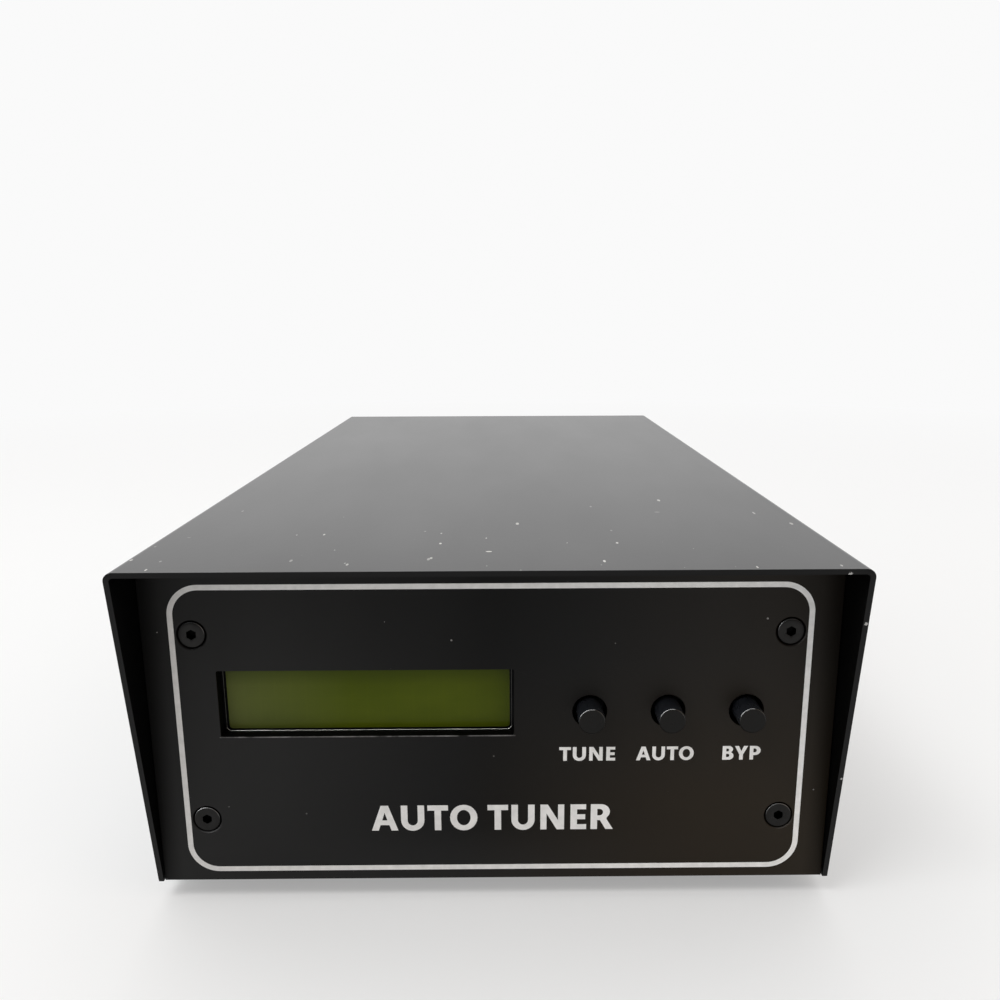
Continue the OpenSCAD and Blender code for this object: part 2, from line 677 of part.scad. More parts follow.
// Centre pin of the supply jack, with its solder tag and the sleeve contact's tag.
module dc_jack_pin() color("#c9cbcd") {
    rod(jack_x, power_z, 1, jack_face - jack_depth, jack_face - 1);
    rod(jack_x, power_z, 0.75, rear_in - 8.1, jack_face - jack_depth);
    for (x = [-1, 1])
        translate([jack_x + x * 3 - 1.2, rear_in - 11, power_z - 0.3]) cube([2.4, 2.9, 0.6]);
    translate([jack_x - 3, rear_in - 9, power_z - 0.3]) cube([6, 0.9, 0.6]);
}

module power_switch_housing() color("#161617") difference() {
    union() {
        translate([power_x - 7.5, rear_y, power_z - 10.5]) cube([15, 1.8, 21]);
        translate([power_x - 6.3, rear_in - 13, power_z - 9.4]) cube([12.6, rear_y - rear_in + 13.5, 18.8]);
    }
    translate([power_x - 5.1, rear_in - 9, power_z - 8.65]) cube([10.2, 20, 17.3]);
    translate([power_x - 7, pivot_y, power_z]) rotate([0, 90, 0]) cylinder(h = 14, r = 1.05);
}

// Rocker turned to its rest position: a wedge-topped key on a cross pin.
module power_rocker() color("#101011") translate([power_x, pivot_y, power_z]) rotate([-rocker_tilt, 0, 0]) {
    rotate([0, 90, 0]) translate([0, 0, -6.2]) cylinder(h = 12.4, r = 1);
    difference() {
        translate([-4.9, -3.2, -7.7]) cube([9.8, 7.6, 15.4]);
        translate([-6, 30.4, 0]) rotate([0, 90, 0]) cylinder(h = 12, r = 28);
        for (s = [-1, 1]) translate([-6, -3.2, s * 8.8]) rotate([0, 90, 0]) cylinder(h = 12, r = 2.6);
    }
}

module ground_stud() color("#c9a24a") {
    rod(0, ground_z, stud_r, rear_in - 7, stud_tip);
    frontward(0, rear_in, ground_z) difference() {
        hex(7, 3);
        translate([0, 0, -1]) cylinder(h = 6, r = stud_r - 0.1);
    }
    rearward(0, rear_y, ground_z) difference() {
        cylinder(h = 0.9, r = 4.5);
        translate([0, 0, -1]) cylinder(h = 4, r = stud_r - 0.1);
    }
}

module ground_washer() color("#bfc1c4") rearward(0, rear_y + 0.95, ground_z) difference() {
    cylinder(h = 0.8, r = 4.4);
    translate([0, 0, -1]) cylinder(h = 4, r = stud_r + 0.06);
}

module ground_wing_nut() color("#c7c9cb") rearward(0, wing_y, ground_z) difference() {
    union() {
        cylinder(h = 1, r = 4);
        translate([0, 0, 1]) cylinder(h = 3.6, r1 = 4, r2 = 3.3);
        for (s = [-1, 1]) translate([s * 6.4, 1, 4.4]) rotate([90, 0, 0]) linear_extrude(2) {
            rounded_rect(6.4, 6.4, 3);
            translate([-s * 2.6, -1.6]) square([3, 3.2], center = true);
        }
    }
    translate([0, 0, -1]) cylinder(h = 12, r = stud_r + 0.05);
}

// ---- assembly ----

place() top_cover();
place() chassis();
place() front_panel();
place() front_panel_screws();
place() clinch_nuts();
place() cover_screws();
place() rubber_feet();
place() foot_screws();
place() hex_nuts();
place() board_standoffs();
place() board_screws();
place() lcd_bezel();
place() lcd_glass();
place() lcd_backlight();
place() lcd_board();
place() lcd_header();
place() lcd_spacers();
place() front_board();
place() switch_body(button_x[0]);  // tune_switch_body
place() switch_body(button_x[1]);  // auto_switch_body
place() switch_body(button_x[2]);  // bypass_switch_body
place() button_spring(button_x[0]);  // tune_spring
place() button_spring(button_x[1]);  // auto_spring
place() button_spring(button_x[2]);  // bypass_spring
place() button_plunger(button_x[0]);  // tune_plunger
place() button_plunger(button_x[1]);  // auto_plunger
place() button_plunger(button_x[2]);  // bypass_plunger
place() button_cap(button_x[0]);  // tune_cap
place() button_cap(button_x[1]);  // auto_cap
place() button_cap(button_x[2]);  // bypass_cap
place() main_board();
place() inductor_relays();
place() capacitor_relays();
place() mica_capacitors();
place() toroid_cores();
place() toroid_windings();
place() air_coils();
place() swr_cores();
place() rf_leads();
place() microcontroller();
place() driver_chips();
place() voltage_regulator();
place() heatsink();
place() electrolytic_capacitors();
place() ribbon_headers();
place() ribbon_cable();
place() dc_leads();
place() coax_socket(-socket_x);  // transmitter_socket
place() coax_socket(socket_x);  // antenna_socket
place() socket_insulators();
place() socket_contacts();
place() socket_screws();
place() dc_jack();
place() dc_jack_nut();
place() dc_jack_pin();
place() power_switch_housing();
place() power_rocker();
place() ground_stud();
place() ground_washer();
place() ground_wing_nut();
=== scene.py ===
"""Automatic antenna tuner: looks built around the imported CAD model. Metres, +Z up, front faces -Y."""

import json
import math

import bmesh
import bpy
from mathutils import Matrix, Vector
from mathutils.bvhtree import BVHTree

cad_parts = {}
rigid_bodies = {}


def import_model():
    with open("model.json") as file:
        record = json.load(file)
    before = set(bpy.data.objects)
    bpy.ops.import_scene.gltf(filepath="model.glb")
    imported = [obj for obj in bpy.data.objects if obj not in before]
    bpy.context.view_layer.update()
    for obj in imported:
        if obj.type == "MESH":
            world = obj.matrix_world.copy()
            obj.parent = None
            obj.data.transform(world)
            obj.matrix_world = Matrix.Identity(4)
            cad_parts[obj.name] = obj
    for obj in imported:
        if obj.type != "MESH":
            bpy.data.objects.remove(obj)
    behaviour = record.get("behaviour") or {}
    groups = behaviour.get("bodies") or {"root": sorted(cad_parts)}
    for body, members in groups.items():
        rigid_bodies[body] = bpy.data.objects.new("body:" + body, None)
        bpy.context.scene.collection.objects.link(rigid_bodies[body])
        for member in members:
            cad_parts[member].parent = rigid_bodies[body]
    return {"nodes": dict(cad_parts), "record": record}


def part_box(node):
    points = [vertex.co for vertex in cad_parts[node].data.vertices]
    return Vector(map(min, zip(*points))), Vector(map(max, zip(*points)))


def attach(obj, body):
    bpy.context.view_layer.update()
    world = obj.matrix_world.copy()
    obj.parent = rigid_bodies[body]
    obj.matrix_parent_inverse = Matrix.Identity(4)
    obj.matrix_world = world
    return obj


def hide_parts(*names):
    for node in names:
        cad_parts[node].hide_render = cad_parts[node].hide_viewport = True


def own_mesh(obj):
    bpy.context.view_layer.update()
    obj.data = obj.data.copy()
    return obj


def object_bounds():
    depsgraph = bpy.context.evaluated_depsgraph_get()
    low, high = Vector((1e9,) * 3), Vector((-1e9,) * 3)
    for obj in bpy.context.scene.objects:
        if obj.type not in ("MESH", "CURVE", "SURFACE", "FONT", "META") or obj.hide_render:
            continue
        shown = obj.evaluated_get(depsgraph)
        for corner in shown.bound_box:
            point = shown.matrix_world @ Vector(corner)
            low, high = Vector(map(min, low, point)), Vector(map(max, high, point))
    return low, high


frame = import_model()
cad_bounds = [list(v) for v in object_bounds()]
scene = bpy.context.scene
scene.view_settings.view_transform = "Standard"
MM = 0.001
FOOT = 5 * MM                               # height of the rubber feet under the case
ROOM_FRONT_BACK = (0.1, 1.38)              # strength of the room in front of the object and behind it
BACKDROP = (0.955, 0.955, 0.955)


# --- camera, light and floor

def add_camera():
    """Camera in front of the object and a little above it, fitted to the edges of the case."""
    pitch, yaw, roll = 0.224, -0.007, 0.0036      # radians: down, to the left, clockwise
    right = Vector((math.cos(yaw), math.sin(yaw), 0))
    ahead = Vector((-math.sin(yaw), math.cos(yaw), 0))
    down = Vector((0, 0, -1))
    fwd = math.cos(pitch) * ahead + math.sin(pitch) * down
    low = math.cos(pitch) * down - math.sin(pitch) * ahead
    side = math.cos(roll) * right + math.sin(roll) * low
    low = math.cos(roll) * low - math.sin(roll) * right
    cam = bpy.data.objects.new("camera", bpy.data.cameras.new("camera"))
    scene.collection.objects.link(cam)
    turn = Matrix((side, -low, -fwd)).transposed().to_4x4()
    cam.matrix_world = Matrix.Translation((0.00269, cad_bounds[0][1] - 0.17469, 0.13545)) @ turn
    cam.data.lens = 31.703
    cam.data.shift_x = -0.0093
    cam.data.shift_y = 0.0205
    cam.data.clip_start = 0.01
    scene.camera = cam


def aimed(name, data, place, aim):
    ob = bpy.data.objects.new(name, data)
    ob.location = place
    ob.rotation_euler = (Vector(aim) - Vector(place)).to_track_quat("-Z", "Y").to_euler()
    scene.collection.objects.link(ob)
    return ob


def add_area(name, place, aim, size, radiance, only_in=None):
    """Rectangular softbox of the given radiance. With only_in it is a card that lights nothing and is
    mirrored only in the gloss of that collection's pieces."""
    lamp = bpy.data.lights.new(name, "AREA")
    lamp.shape = "RECTANGLE"
    lamp.size, lamp.size_y = size
    lamp.energy = radiance * math.pi * size[0] * size[1]
    ob = aimed(name, lamp, place, aim)
    if only_in:
        ob.visible_diffuse = False
        ob.light_linking.receiver_collection = only_in


def add_sun(name, place, strength, angle):
    """Even light from a wide disc of sky, so that the floor stays evenly lit to the horizon."""
    lamp = bpy.data.lights.new(name, "SUN")
    lamp.energy = strength
    lamp.angle = math.radians(angle)
    aimed(name, lamp, place, (0, 0, 0))


def add_world():
    """Pale room: brightest low behind the object, dim in front of it, a plain tone for the backdrop."""
    world = bpy.data.worlds.new("room")
    scene.world = world
    world.use_nodes = True
    world.node_tree.nodes.clear()
    w = Graph(world.node_tree, "Generated")
    x, y, z = w.axes()
    depth = w.span(y, -0.9, 0.95, *ROOM_FRONT_BACK)
    side = w.span(x, -1.0, 1.0, 1.12, 0.88)
    low = w.span(z, 0.05, 0.55, 1.12, 0.86)
    # what the front faces: grey on the left, dark in the middle, a warm wall on the right
    tint = w.node("ValToRGB")
    w.link(w.span(x, -0.9, 0.9), tint.inputs[0])
    ramp = tint.color_ramp
    ramp.elements[0].color = (1.9, 2.0, 2.1, 1)
    ramp.elements[1].color = (3.0, 2.5, 2.1, 1)
    ramp.elements.new(0.5).color = (0.7, 0.7, 0.7, 1)
    room = w.node("Background")
    w.link(w.mix(w.span(y, -0.5, 0.1, 1.0, 0.0), (1, 1, 1), tint.outputs["Color"]), room.inputs["Color"])
    w.link(w.times(depth, side, low), room.inputs["Strength"])
    backdrop = w.node("Background", Color=(*BACKDROP, 1))
    seen = w.node("MixShader")
    w.link(w.node("LightPath").outputs["Is Camera Ray"], seen.inputs["Fac"])
    w.link(room.outputs[0], seen.inputs[1])
    w.link(backdrop.outputs[0], seen.inputs[2])
    w.link(seen.outputs[0], w.node("OutputWorld").inputs[0])


# --- procedural materials

class Graph:
    """A node tree with short forms for the nodes that are used most."""

    def __init__(self, tree, coordinates):
        self.nt = tree
        self.coord = self.node("TexCoord").outputs[coordinates]

    def node(self, kind, **values):
        n = self.nt.nodes.new("ShaderNode" + kind)
        for key, value in values.items():
            if key in n.inputs:
                n.inputs[key].default_value = value
            else:
                setattr(n, key, value)
        return n

    def link(self, a, b):
        self.nt.links.new(a, b)

    def math(self, op, a, b=0.0, c=0.0):
        n = self.node("Math", operation=op)
        for socket, value in zip(n.inputs, (a, b, c)):
            if isinstance(value, (int, float)):
                socket.default_value = value
            else:
                self.link(value, socket)
        return n.outputs[0]

    def times(self, product, *factors):
        for factor in factors:
            product = self.math("MULTIPLY", product, factor)
        return product

    def axes(self, source=None):
        n = self.node("SeparateXYZ")
        self.link(source or self.coord, n.inputs[0])
        return n.outputs

    def span(self, value, low, high, to_low=0.0, to_high=1.0):
        n = self.node("MapRange")
        self.link(value, n.inputs["Value"])
        for key, v in (("From Min", low), ("From Max", high), ("To Min", to_low), ("To Max", to_high)):
            n.inputs[key].default_value = v
        return n.outputs["Result"]

    def mix(self, factor, a, b):
        n = self.node("Mix", data_type="RGBA")
        for socket, value in ((n.inputs[0], factor), (n.inputs[6], a), (n.inputs[7], b)):
            if isinstance(value, (int, float)):
                socket.default_value = value
            elif isinstance(value, tuple):
                socket.default_value = (*value, 1.0)[:4]
            else:
                self.link(value, socket)
        return n.outputs[2]

    def stretched(self, scale, turn=(0, 0, 0), vector=None):
        n = self.node("Mapping", Scale=scale, Rotation=turn)
        self.link(vector or self.coord, n.inputs["Vector"])
        return n.outputs[0]

    def vector(self, operation, other=(0, 0, 0)):
        """Outputs of a vector operation on the coordinates and a fixed vector."""
        n = self.node("VectorMath", operation=operation)
        self.link(self.coord, n.inputs[0])
        n.inputs[1].default_value = other
        return n.outputs

    def noise(self, scale, detail=4.0, vector=None):
        n = self.node("TexNoise", Scale=scale, Detail=detail, Roughness=0.55)
        self.link(vector or self.coord, n.inputs["Vector"])
        return n.outputs["Fac"]

    def cells(self, scale, vector=None, dimensions="3D"):
        n = self.node("TexVoronoi", voronoi_dimensions=dimensions, Scale=scale)
        self.link(vector or self.coord, n.inputs["Vector"])
        return n.outputs


class Mat(Graph):
    """A Principled material with procedural detail in object coordinates."""

    def __init__(self, name, rough=0.5, metal=0.0, specular=0.5, **sockets):
        self.mat = bpy.data.materials.new(name)
        self.mat.use_nodes = True
        super().__init__(self.mat.node_tree, "Object")
        self.bsdf = self.nt.nodes["Principled BSDF"]
        values = {"Roughness": rough, "Metallic": metal, "Specular IOR Level": specular}
        values.update((key.replace("_", " "), value) for key, value in sockets.items())
        for key, value in values.items():
            self.bsdf.inputs[key].default_value = value

    def color(self, socket):
        self.link(socket, self.bsdf.inputs["Base Color"])

    def roughness(self, socket):
        self.link(socket, self.bsdf.inputs["Roughness"])

    def gloss(self, socket):
        self.link(socket, self.bsdf.inputs["Specular IOR Level"])

    def bump(self, height, depth):
        """Stacks a bump of the given depth in metres on those already there."""
        n = self.node("Bump", Distance=depth)
        self.link(height, n.inputs["Height"])
        old = self.bsdf.inputs["Normal"].links
        if old:
            self.link(old[0].from_socket, n.inputs["Normal"])
        self.link(n.outputs[0], self.bsdf.inputs["Normal"])


def case_point(x, y, z):
    """Metres in the shared frame from millimetres in the case: y back from the hood tip, z up from the
    underside of the case."""
    return (x * MM, cad_bounds[0][1] + y * MM, cad_bounds[0][2] + FOOT + z * MM)


# middle and radius of the bare nicks on the hood's right edge
NICKS = [(case_point(74.5, 0.2, 78.9), 0.42 * MM), (case_point(79.5, 1.9, 67.4), 0.42 * MM),
         (case_point(79.6, 7.7, 28), 0.24 * MM)]
# x and z of the display window's lower left and upper right corners
WINDOW = [case_point(-28.8 + side * 33.75, 0, 45.1 + side * 8.1)[::2] for side in (-1, 1)]


def shade(color, k):
    return tuple(min(1.0, c * k) for c in color)


def plain(name, color, rough, grain=900, depth=2e-5, mottle=60, vary=0.25, **kw):
    """General finish: mottled colour, varying roughness and a fine grain."""
    m = Mat(name, rough, **kw)
    m.color(m.mix(m.noise(mottle), shade(color, 1 - vary), shade(color, 1 + vary)))
    m.roughness(m.span(m.noise(mottle * 2.3), 0.3, 0.7, rough * 0.85, min(1.0, rough * 1.15)))
    m.bump(m.noise(grain, 2.0), depth)
    return m.mat


def flecks(m, layers, near, vector=None):
    """Scattered specks and dashes, 0 to 1. A layer is cells per metre, stretch, turn, what to keep, size."""
    marks = 0.0
    for scale, stretch, turn, keep, size in layers:
        spot = m.cells(scale, m.stretched(stretch, (0, 0, turn), vector), "2D")
        tint = m.axes(spot["Color"])
        kept = m.math("GREATER_THAN", m.times(tint[0], near), keep)
        dot = m.math("LESS_THAN", spot["Distance"], m.times(tint[1], size))
        marks = m.math("MAXIMUM", m.times(kept, dot, m.span(tint[2], 0.0, 1.0, 0.15, 0.85)), marks)
    return marks


def powder_coat(name, color, cover):
    """Satin fine-texture powder coat. On the cover: dust and dashes near the front of the top, a few bare
    nicks on the hood's edge, painted shade that makes the inner faces near-black and darkens the front edge
    of the sheet, and a painted highlight along the bend under the hood's lip."""
    m = Mat(name, 0.36, specular=0.36)
    base = m.mix(m.noise(14, 3.0), shade(color, 0.85), shade(color, 1.2))
    if cover:
        x, y, _ = m.axes()
        normal = m.axes(m.node("NewGeometry").outputs["Normal"])
        up = m.math("GREATER_THAN", normal[2], 0.7)
        front = cad_bounds[0][1]
        near = m.span(y, front + 4 * MM, front + 110 * MM, 1.0, 0.25)
        dust = ((105, (1.0, 0.34, 1.0), 0.0, 0.44, 0.044), (170, (1.0, 0.45, 1.0), 0.0, 0.66, 0.06),
                (84, (0.3, 0.5, 1.0), 0.45, 0.42, 0.026), (70, (1.0, 0.14, 1.0), 0.15, 0.5, 0.018))
        seen = m.times(flecks(m, dust, near), up)
        base = m.mix(seen, base, (0.66, 0.64, 0.6))
        for place, radius in NICKS:
            ragged = m.times(m.noise(2500, 2.0), 2 * radius)
            bare = m.math("LESS_THAN", m.vector("DISTANCE", place)["Value"], ragged)
            base = m.mix(bare, base, (0.62, 0.62, 0.6))
        # painted shade on the faces that look inwards or down and on the front edge of the sheet, and a
        # painted highlight along the bend under the hood's lip
        side = m.math("LESS_THAN", m.math("ABSOLUTE", x), 79.5 * MM)
        under = m.math("LESS_THAN", normal[2], 0.5)
        wall = m.math("GREATER_THAN", m.math("ABSOLUTE", normal[0]), 0.7)
        ceiling = m.math("LESS_THAN", normal[2], -0.7)
        inner = m.times(side, under, m.math("MAXIMUM", wall, ceiling))
        # painted shade: the inner faces are darkened to near-black
        base = m.mix(inner, base, shade(color, 0.15))
        # painted shade: the faces that look straight ahead, the front edge of the sheet, are darkened
        # towards black
        painted_shade_cut = m.math("LESS_THAN", normal[1], -0.93)
        base = m.mix(m.times(painted_shade_cut, 0.35), base, (0, 0, 0))
        # painted highlight: a lighter line along the bend under the hood's lip
        painted_highlight_lip = m.times(m.math("COMPARE", normal[2], -0.55, 0.3), m.math("LESS_THAN", normal[1], -0.3))
        base = m.mix(m.times(painted_highlight_lip, side, 0.8), base, (0.035, 0.035, 0.035))
        m.gloss(m.times(m.span(inner, 0.0, 1.0, 0.36, 0.06), m.span(painted_shade_cut, 0.0, 1.0, 1.0, 0.42)))
    m.color(base)
    m.roughness(m.span(m.noise(40, vector=m.stretched((1.0, 0.3, 1.0))), 0.3, 0.7, 0.355, 0.375))
    m.bump(m.noise(1500, 2.0), 6e-6)
    m.bump(m.noise(420, 2.0), 8e-6)
    return m.mat


def panel_finish():
    """Matt black coated plate with a very fine tooth and faint wipe marks, with painted shade in the middle,
    in the window's cut walls and beside the hood's walls, a painted warm reflection towards the right, and a
    painted highlight mixed with wear along the window's lower edge.
    """
    m = Mat("panel_black", specular=0.22)
    base = m.mix(m.noise(18, 3.0), (0.004, 0.0039, 0.0038), (0.0062, 0.0058, 0.0054))
    x, y, z = m.axes()
    # painted shade darkens the middle, and a painted warm reflection warms the black towards the right
    above = m.span(z, case_point(0, 0, 3)[2], case_point(0, 0, 14)[2])
    painted_shade_middle = m.times(m.span(m.math("ABSOLUTE", x), 0.002, 0.05, 1.0, 0.0), above)
    base = m.mix(m.times(painted_shade_middle, 0.6), base, (0.0, 0.0, 0.0))
    base = m.mix(m.span(x, 0.02, 0.065, 0.0, 1.0), base, (0.0082, 0.0054, 0.0026))
    # painted warm reflection, strongest at the lower right
    painted_warm_reflection = m.times(m.span(x, -0.01, 0.05), m.span(z, 0.06, 0.025))
    base = m.mix(painted_warm_reflection, base, (0.0125, 0.0068, 0.0006))
    low, high = WINDOW
    # painted highlight along the window's lower edge, mixed with patches of rubbed bare metal
    beside = m.math("COMPARE", x, (low[0] + high[0]) / 2, (high[0] - low[0]) / 2 + 0.3 * MM)
    sill = m.math("COMPARE", z, low[1] - 0.08 * MM, 0.12 * MM)
    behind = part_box("front_panel")[0].y + 0.2 * MM
    face = m.math("LESS_THAN", y, behind)
    worn = m.span(m.noise(220, vector=m.stretched((1, 0.1, 0.1))), 0.35, 0.75)
    sill_wear_and_highlight = m.times(beside, sill, face, worn)
    base = m.mix(sill_wear_and_highlight, base, (0.3, 0.29, 0.29))
    specks = flecks(m, ((62, (1.0, 1.0, 1.0), 0.3, 0.62, 0.015),), 1.0,
                    m.stretched((1, 1, 1), (math.pi / 2, 0, 0)))
    base = m.mix(specks, base, (0.36, 0.35, 0.34))
    # painted shade: the cut walls of the window and the strips beside the hood's walls are darkened, as they
    # catch hardly any light
    painted_shade_cut = m.math("GREATER_THAN", y, behind)
    strip = m.span(m.math("ABSOLUTE", x), 74 * MM, 78.5 * MM, 1.0, 0.5)
    lit = m.times(strip, m.span(painted_shade_cut, 0.0, 1.0, 1.0, 0.2))
    m.color(m.mix(lit, (0.0006, 0.0006, 0.0006), base))
    m.gloss(m.times(lit, m.span(painted_shade_middle, 0.0, 1.0, 0.2, 0.13)))
    wipes = m.noise(30, vector=m.stretched((1.0, 1.0, 0.25), (0, 0.5, 0)))
    m.roughness(m.span(wipes, 0.3, 0.7, 0.46, 0.56))
    m.bump(m.noise(2600, 2.0), 5e-6)
    return m.mat


def metal(name, color, rough, brushed=(1, 1, 1)):
    """Plated or bare metal: fine tool marks, dull patches and small scratches."""
    m = Mat(name, rough, metal=1.0)
    m.color(m.mix(m.span(m.noise(160), 0.35, 0.7), color, shade(color, 0.65)))
    m.roughness(m.span(m.noise(240), 0.3, 0.7, rough * 0.8, rough * 1.35))
    m.bump(m.noise(1400, 3.0, vector=m.stretched(brushed)), 3e-6)
    return m.mat


def display_film():
    """Reflective yellow-green display film behind glass, with its unlit character cells just showing."""
    low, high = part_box("lcd_glass")
    mid = (low + high) / 2
    m = Mat("display_film", 0.22, specular=0.07)
    x, _, z = m.axes()
    # two lines of 16 characters, each 5 by 8 dots in a cell 6 by 8.6 dots large
    wide, tall, columns = 3.55 * MM, 5.95 * MM, 16
    u = m.math("DIVIDE", m.math("SUBTRACT", x, mid.x - columns * wide / 2), wide)
    v = m.math("DIVIDE", m.math("SUBTRACT", z, mid.z - tall), tall)
    inside = m.times(m.math("COMPARE", u, columns / 2, columns / 2), m.math("COMPARE", v, 1.0, 1.0))
    col = m.times(m.math("FRACT", u), 6.0)
    row = m.times(m.math("FRACT", v), 8.6)
    cell = m.times(m.math("LESS_THAN", col, 5.0), m.math("LESS_THAN", row, 8.0))
    dot = m.times(m.math("COMPARE", m.math("FRACT", col), 0.5, 0.44),
                 m.math("COMPARE", m.math("FRACT", row), 0.5, 0.44))
    faint = m.times(cell, dot, inside)
    haze = m.noise(38, 3.0, vector=m.stretched((1.0, 1.0, 2.2)))
    film = m.mix(m.span(haze, 0.3, 0.7), (0.067, 0.091, 0.0028), (0.088, 0.115, 0.0055))
    # paler at the left end and darker at the right end; painted shade darkens the top
    pale = m.span(x, mid.x - 32 * MM, mid.x - 4 * MM, 1.0, 0.0)
    film = m.mix(m.times(pale, 0.62), film, (0.112, 0.127, 0.044))
    film = m.mix(m.span(z, mid.z + 3.0 * MM, mid.z + 8.0 * MM, 0.0, 0.68), film, (0.02, 0.03, 0.002))
    film = m.mix(m.span(x, mid.x + 18 * MM, mid.x + 33 * MM, 0.0, 0.3), film, (0.03, 0.04, 0.001))
    m.color(m.mix(m.times(faint, 0.05), film, (0.03, 0.04, 0.01)))
    m.roughness(m.span(m.noise(300), 0.3, 0.7, 0.18, 0.26))
    m.bump(m.noise(60, 2.0), 1e-5)
    return m.mat


def circuit_board(name):
    """Green solder mask over copper tracks, with rows of tinned pads and white component outlines."""
    m = Mat(name, 0.32)
    cell = 2.54 * MM
    grid = m.vector("SNAP", (cell, cell, cell))[0]
    track = m.noise(70, 1.0, grid)
    band = m.math("COMPARE", track, 0.5, 0.035)
    mask = m.mix(band, (0.01, 0.085, 0.03), (0.022, 0.15, 0.055))
    pads = m.cells(1 / cell / 1.6)
    tint = m.axes(pads["Color"])
    pad = m.times(m.math("LESS_THAN", pads["Distance"], 0.16),
                 m.math("GREATER_THAN", tint[0], 0.55))
    mask = m.mix(pad, mask, (0.55, 0.55, 0.52))
    outline = m.node("TexBrick", Scale=1.0)
    m.link(m.coord, outline.inputs["Vector"])
    for key, size in (("Mortar Size", 0.22), ("Brick Width", 15.24), ("Row Height", 10.16)):
        outline.inputs[key].default_value = size * MM
    outline.inputs["Mortar Smooth"].default_value = 0.0
    drawn = m.math("GREATER_THAN", m.noise(26, 1.0, grid), 0.52)
    ink = m.times(outline.outputs["Fac"], drawn, 0.7)
    mask = m.mix(ink, mask, (0.7, 0.7, 0.66))
    m.color(mask)
    m.roughness(m.span(m.noise(120), 0.3, 0.7, 0.26, 0.4))
    m.bump(m.math("ADD", band, pad), 4e-5)
    return m.mat


def wound_wire(name, color):
    """Enamelled copper wire: glossy lacquer over warm metal, a little uneven."""
    m = Mat(name, 0.25, metal=0.85, Coat_Weight=0.6, Coat_Roughness=0.12)
    m.color(m.mix(m.noise(90), shade(color, 0.7), shade(color, 1.2)))
    m.roughness(m.span(m.noise(400), 0.3, 0.7, 0.2, 0.34))
    m.bump(m.noise(700, 2.0), 1e-5)
    return m.mat


def ribbon_finish():
    """Grey flat cable: one ridge per conductor with painted shade in the grooves between them, and a red
    first conductor.
    """
    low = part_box("ribbon_cable")[0]
    m = Mat("ribbon_grey")
    x = m.axes()[0]
    pitch = 1.27 * MM
    lane = m.math("FRACT", m.math("DIVIDE", m.math("SUBTRACT", x, low.x), pitch))
    ridge = m.math("SINE", m.times(lane, math.pi))
    first = m.math("LESS_THAN", x, low.x + pitch)
    grey = m.mix(m.noise(80), (0.27, 0.28, 0.29), (0.36, 0.37, 0.38))
    # painted shade darkens the grooves between the ridges
    m.color(m.mix(first, m.mix(ridge, (0.12, 0.12, 0.125), grey), (0.4, 0.03, 0.02)))
    m.bump(ridge, 0.0003)
    return m.mat


def legend_ink(name, color):
    """Screen-printed ink: slightly uneven cover with a soft tooth."""
    m = Mat(name, 0.55, specular=0.3)
    x = m.axes()[0]
    # darker towards the left of the panel and lighter towards the right
    ink = m.mix(m.span(x, -0.072, -0.03), shade(color, 0.84), shade(color, 0.99))
    ink = m.mix(m.span(x, 0.000, 0.03), ink, shade(color, 1.13))
    m.color(m.mix(m.span(m.noise(500, 3.0), 0.3, 0.7, 0.14, 0.0), ink, (0, 0, 0)))
    m.roughness(m.span(m.noise(900), 0.3, 0.7, 0.48, 0.62))
    m.bump(m.noise(2500, 2.0), 6e-6)
    return m.mat


def rim_finish(name, color):
    """Rolled steel edge with a painted highlight along its lower run and painted shade up the sides."""
    m = Mat(name, 0.34, metal=1.0)
    z = m.axes()[2]
    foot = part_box("lcd_bezel")[0].z
    # painted highlight along the lower run; the sides get painted shade
    bright = m.span(z, foot + 5.2 * MM, foot + 6.8 * MM, 1.0, 0.05)
    bright = m.times(bright, m.span(m.noise(120, 3.0), 0.3, 0.7, 0.75, 1.0))
    m.color(m.mix(bright, shade(color, 0.12), color))
    m.roughness(m.span(m.noise(500), 0.3, 0.7, 0.28, 0.42))
    m.bump(m.noise(1800, 2.0), 3e-6)
    return m.mat


def screw_finish(name, color):
    """Blackened steel, with painted shade that darkens the hex sockets and a painted highlight on the
    chamfered edges that face up.
    """
    m = Mat(name, 0.3, metal=1.0)
    facing = m.axes(m.node("NewGeometry").outputs["Normal"])
    facing_up = m.span(facing[2], 0.0, 0.4)
    edge = m.times(m.math("COMPARE", facing[1], -0.64, 0.3), facing_up)
    dark = m.mix(m.noise(300), shade(color, 0.75), shade(color, 1.2))
    # painted shade: the hex sockets are darkened
    socket = m.math("COMPARE", m.axes()[1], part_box("front_panel_screws")[0].y + 1.5 * MM, 1.2 * MM)
    dark = m.mix(socket, dark, shade(color, 0.08))
    # painted highlight: the chamfered edges that face up are brightened
    m.color(m.mix(edge, dark, (0.17, 0.17, 0.17)))
    m.roughness(m.span(m.noise(240), 0.3, 0.7, 0.26, 0.36))
    m.bump(m.noise(1400, 3.0), 3e-6)
    return m.mat


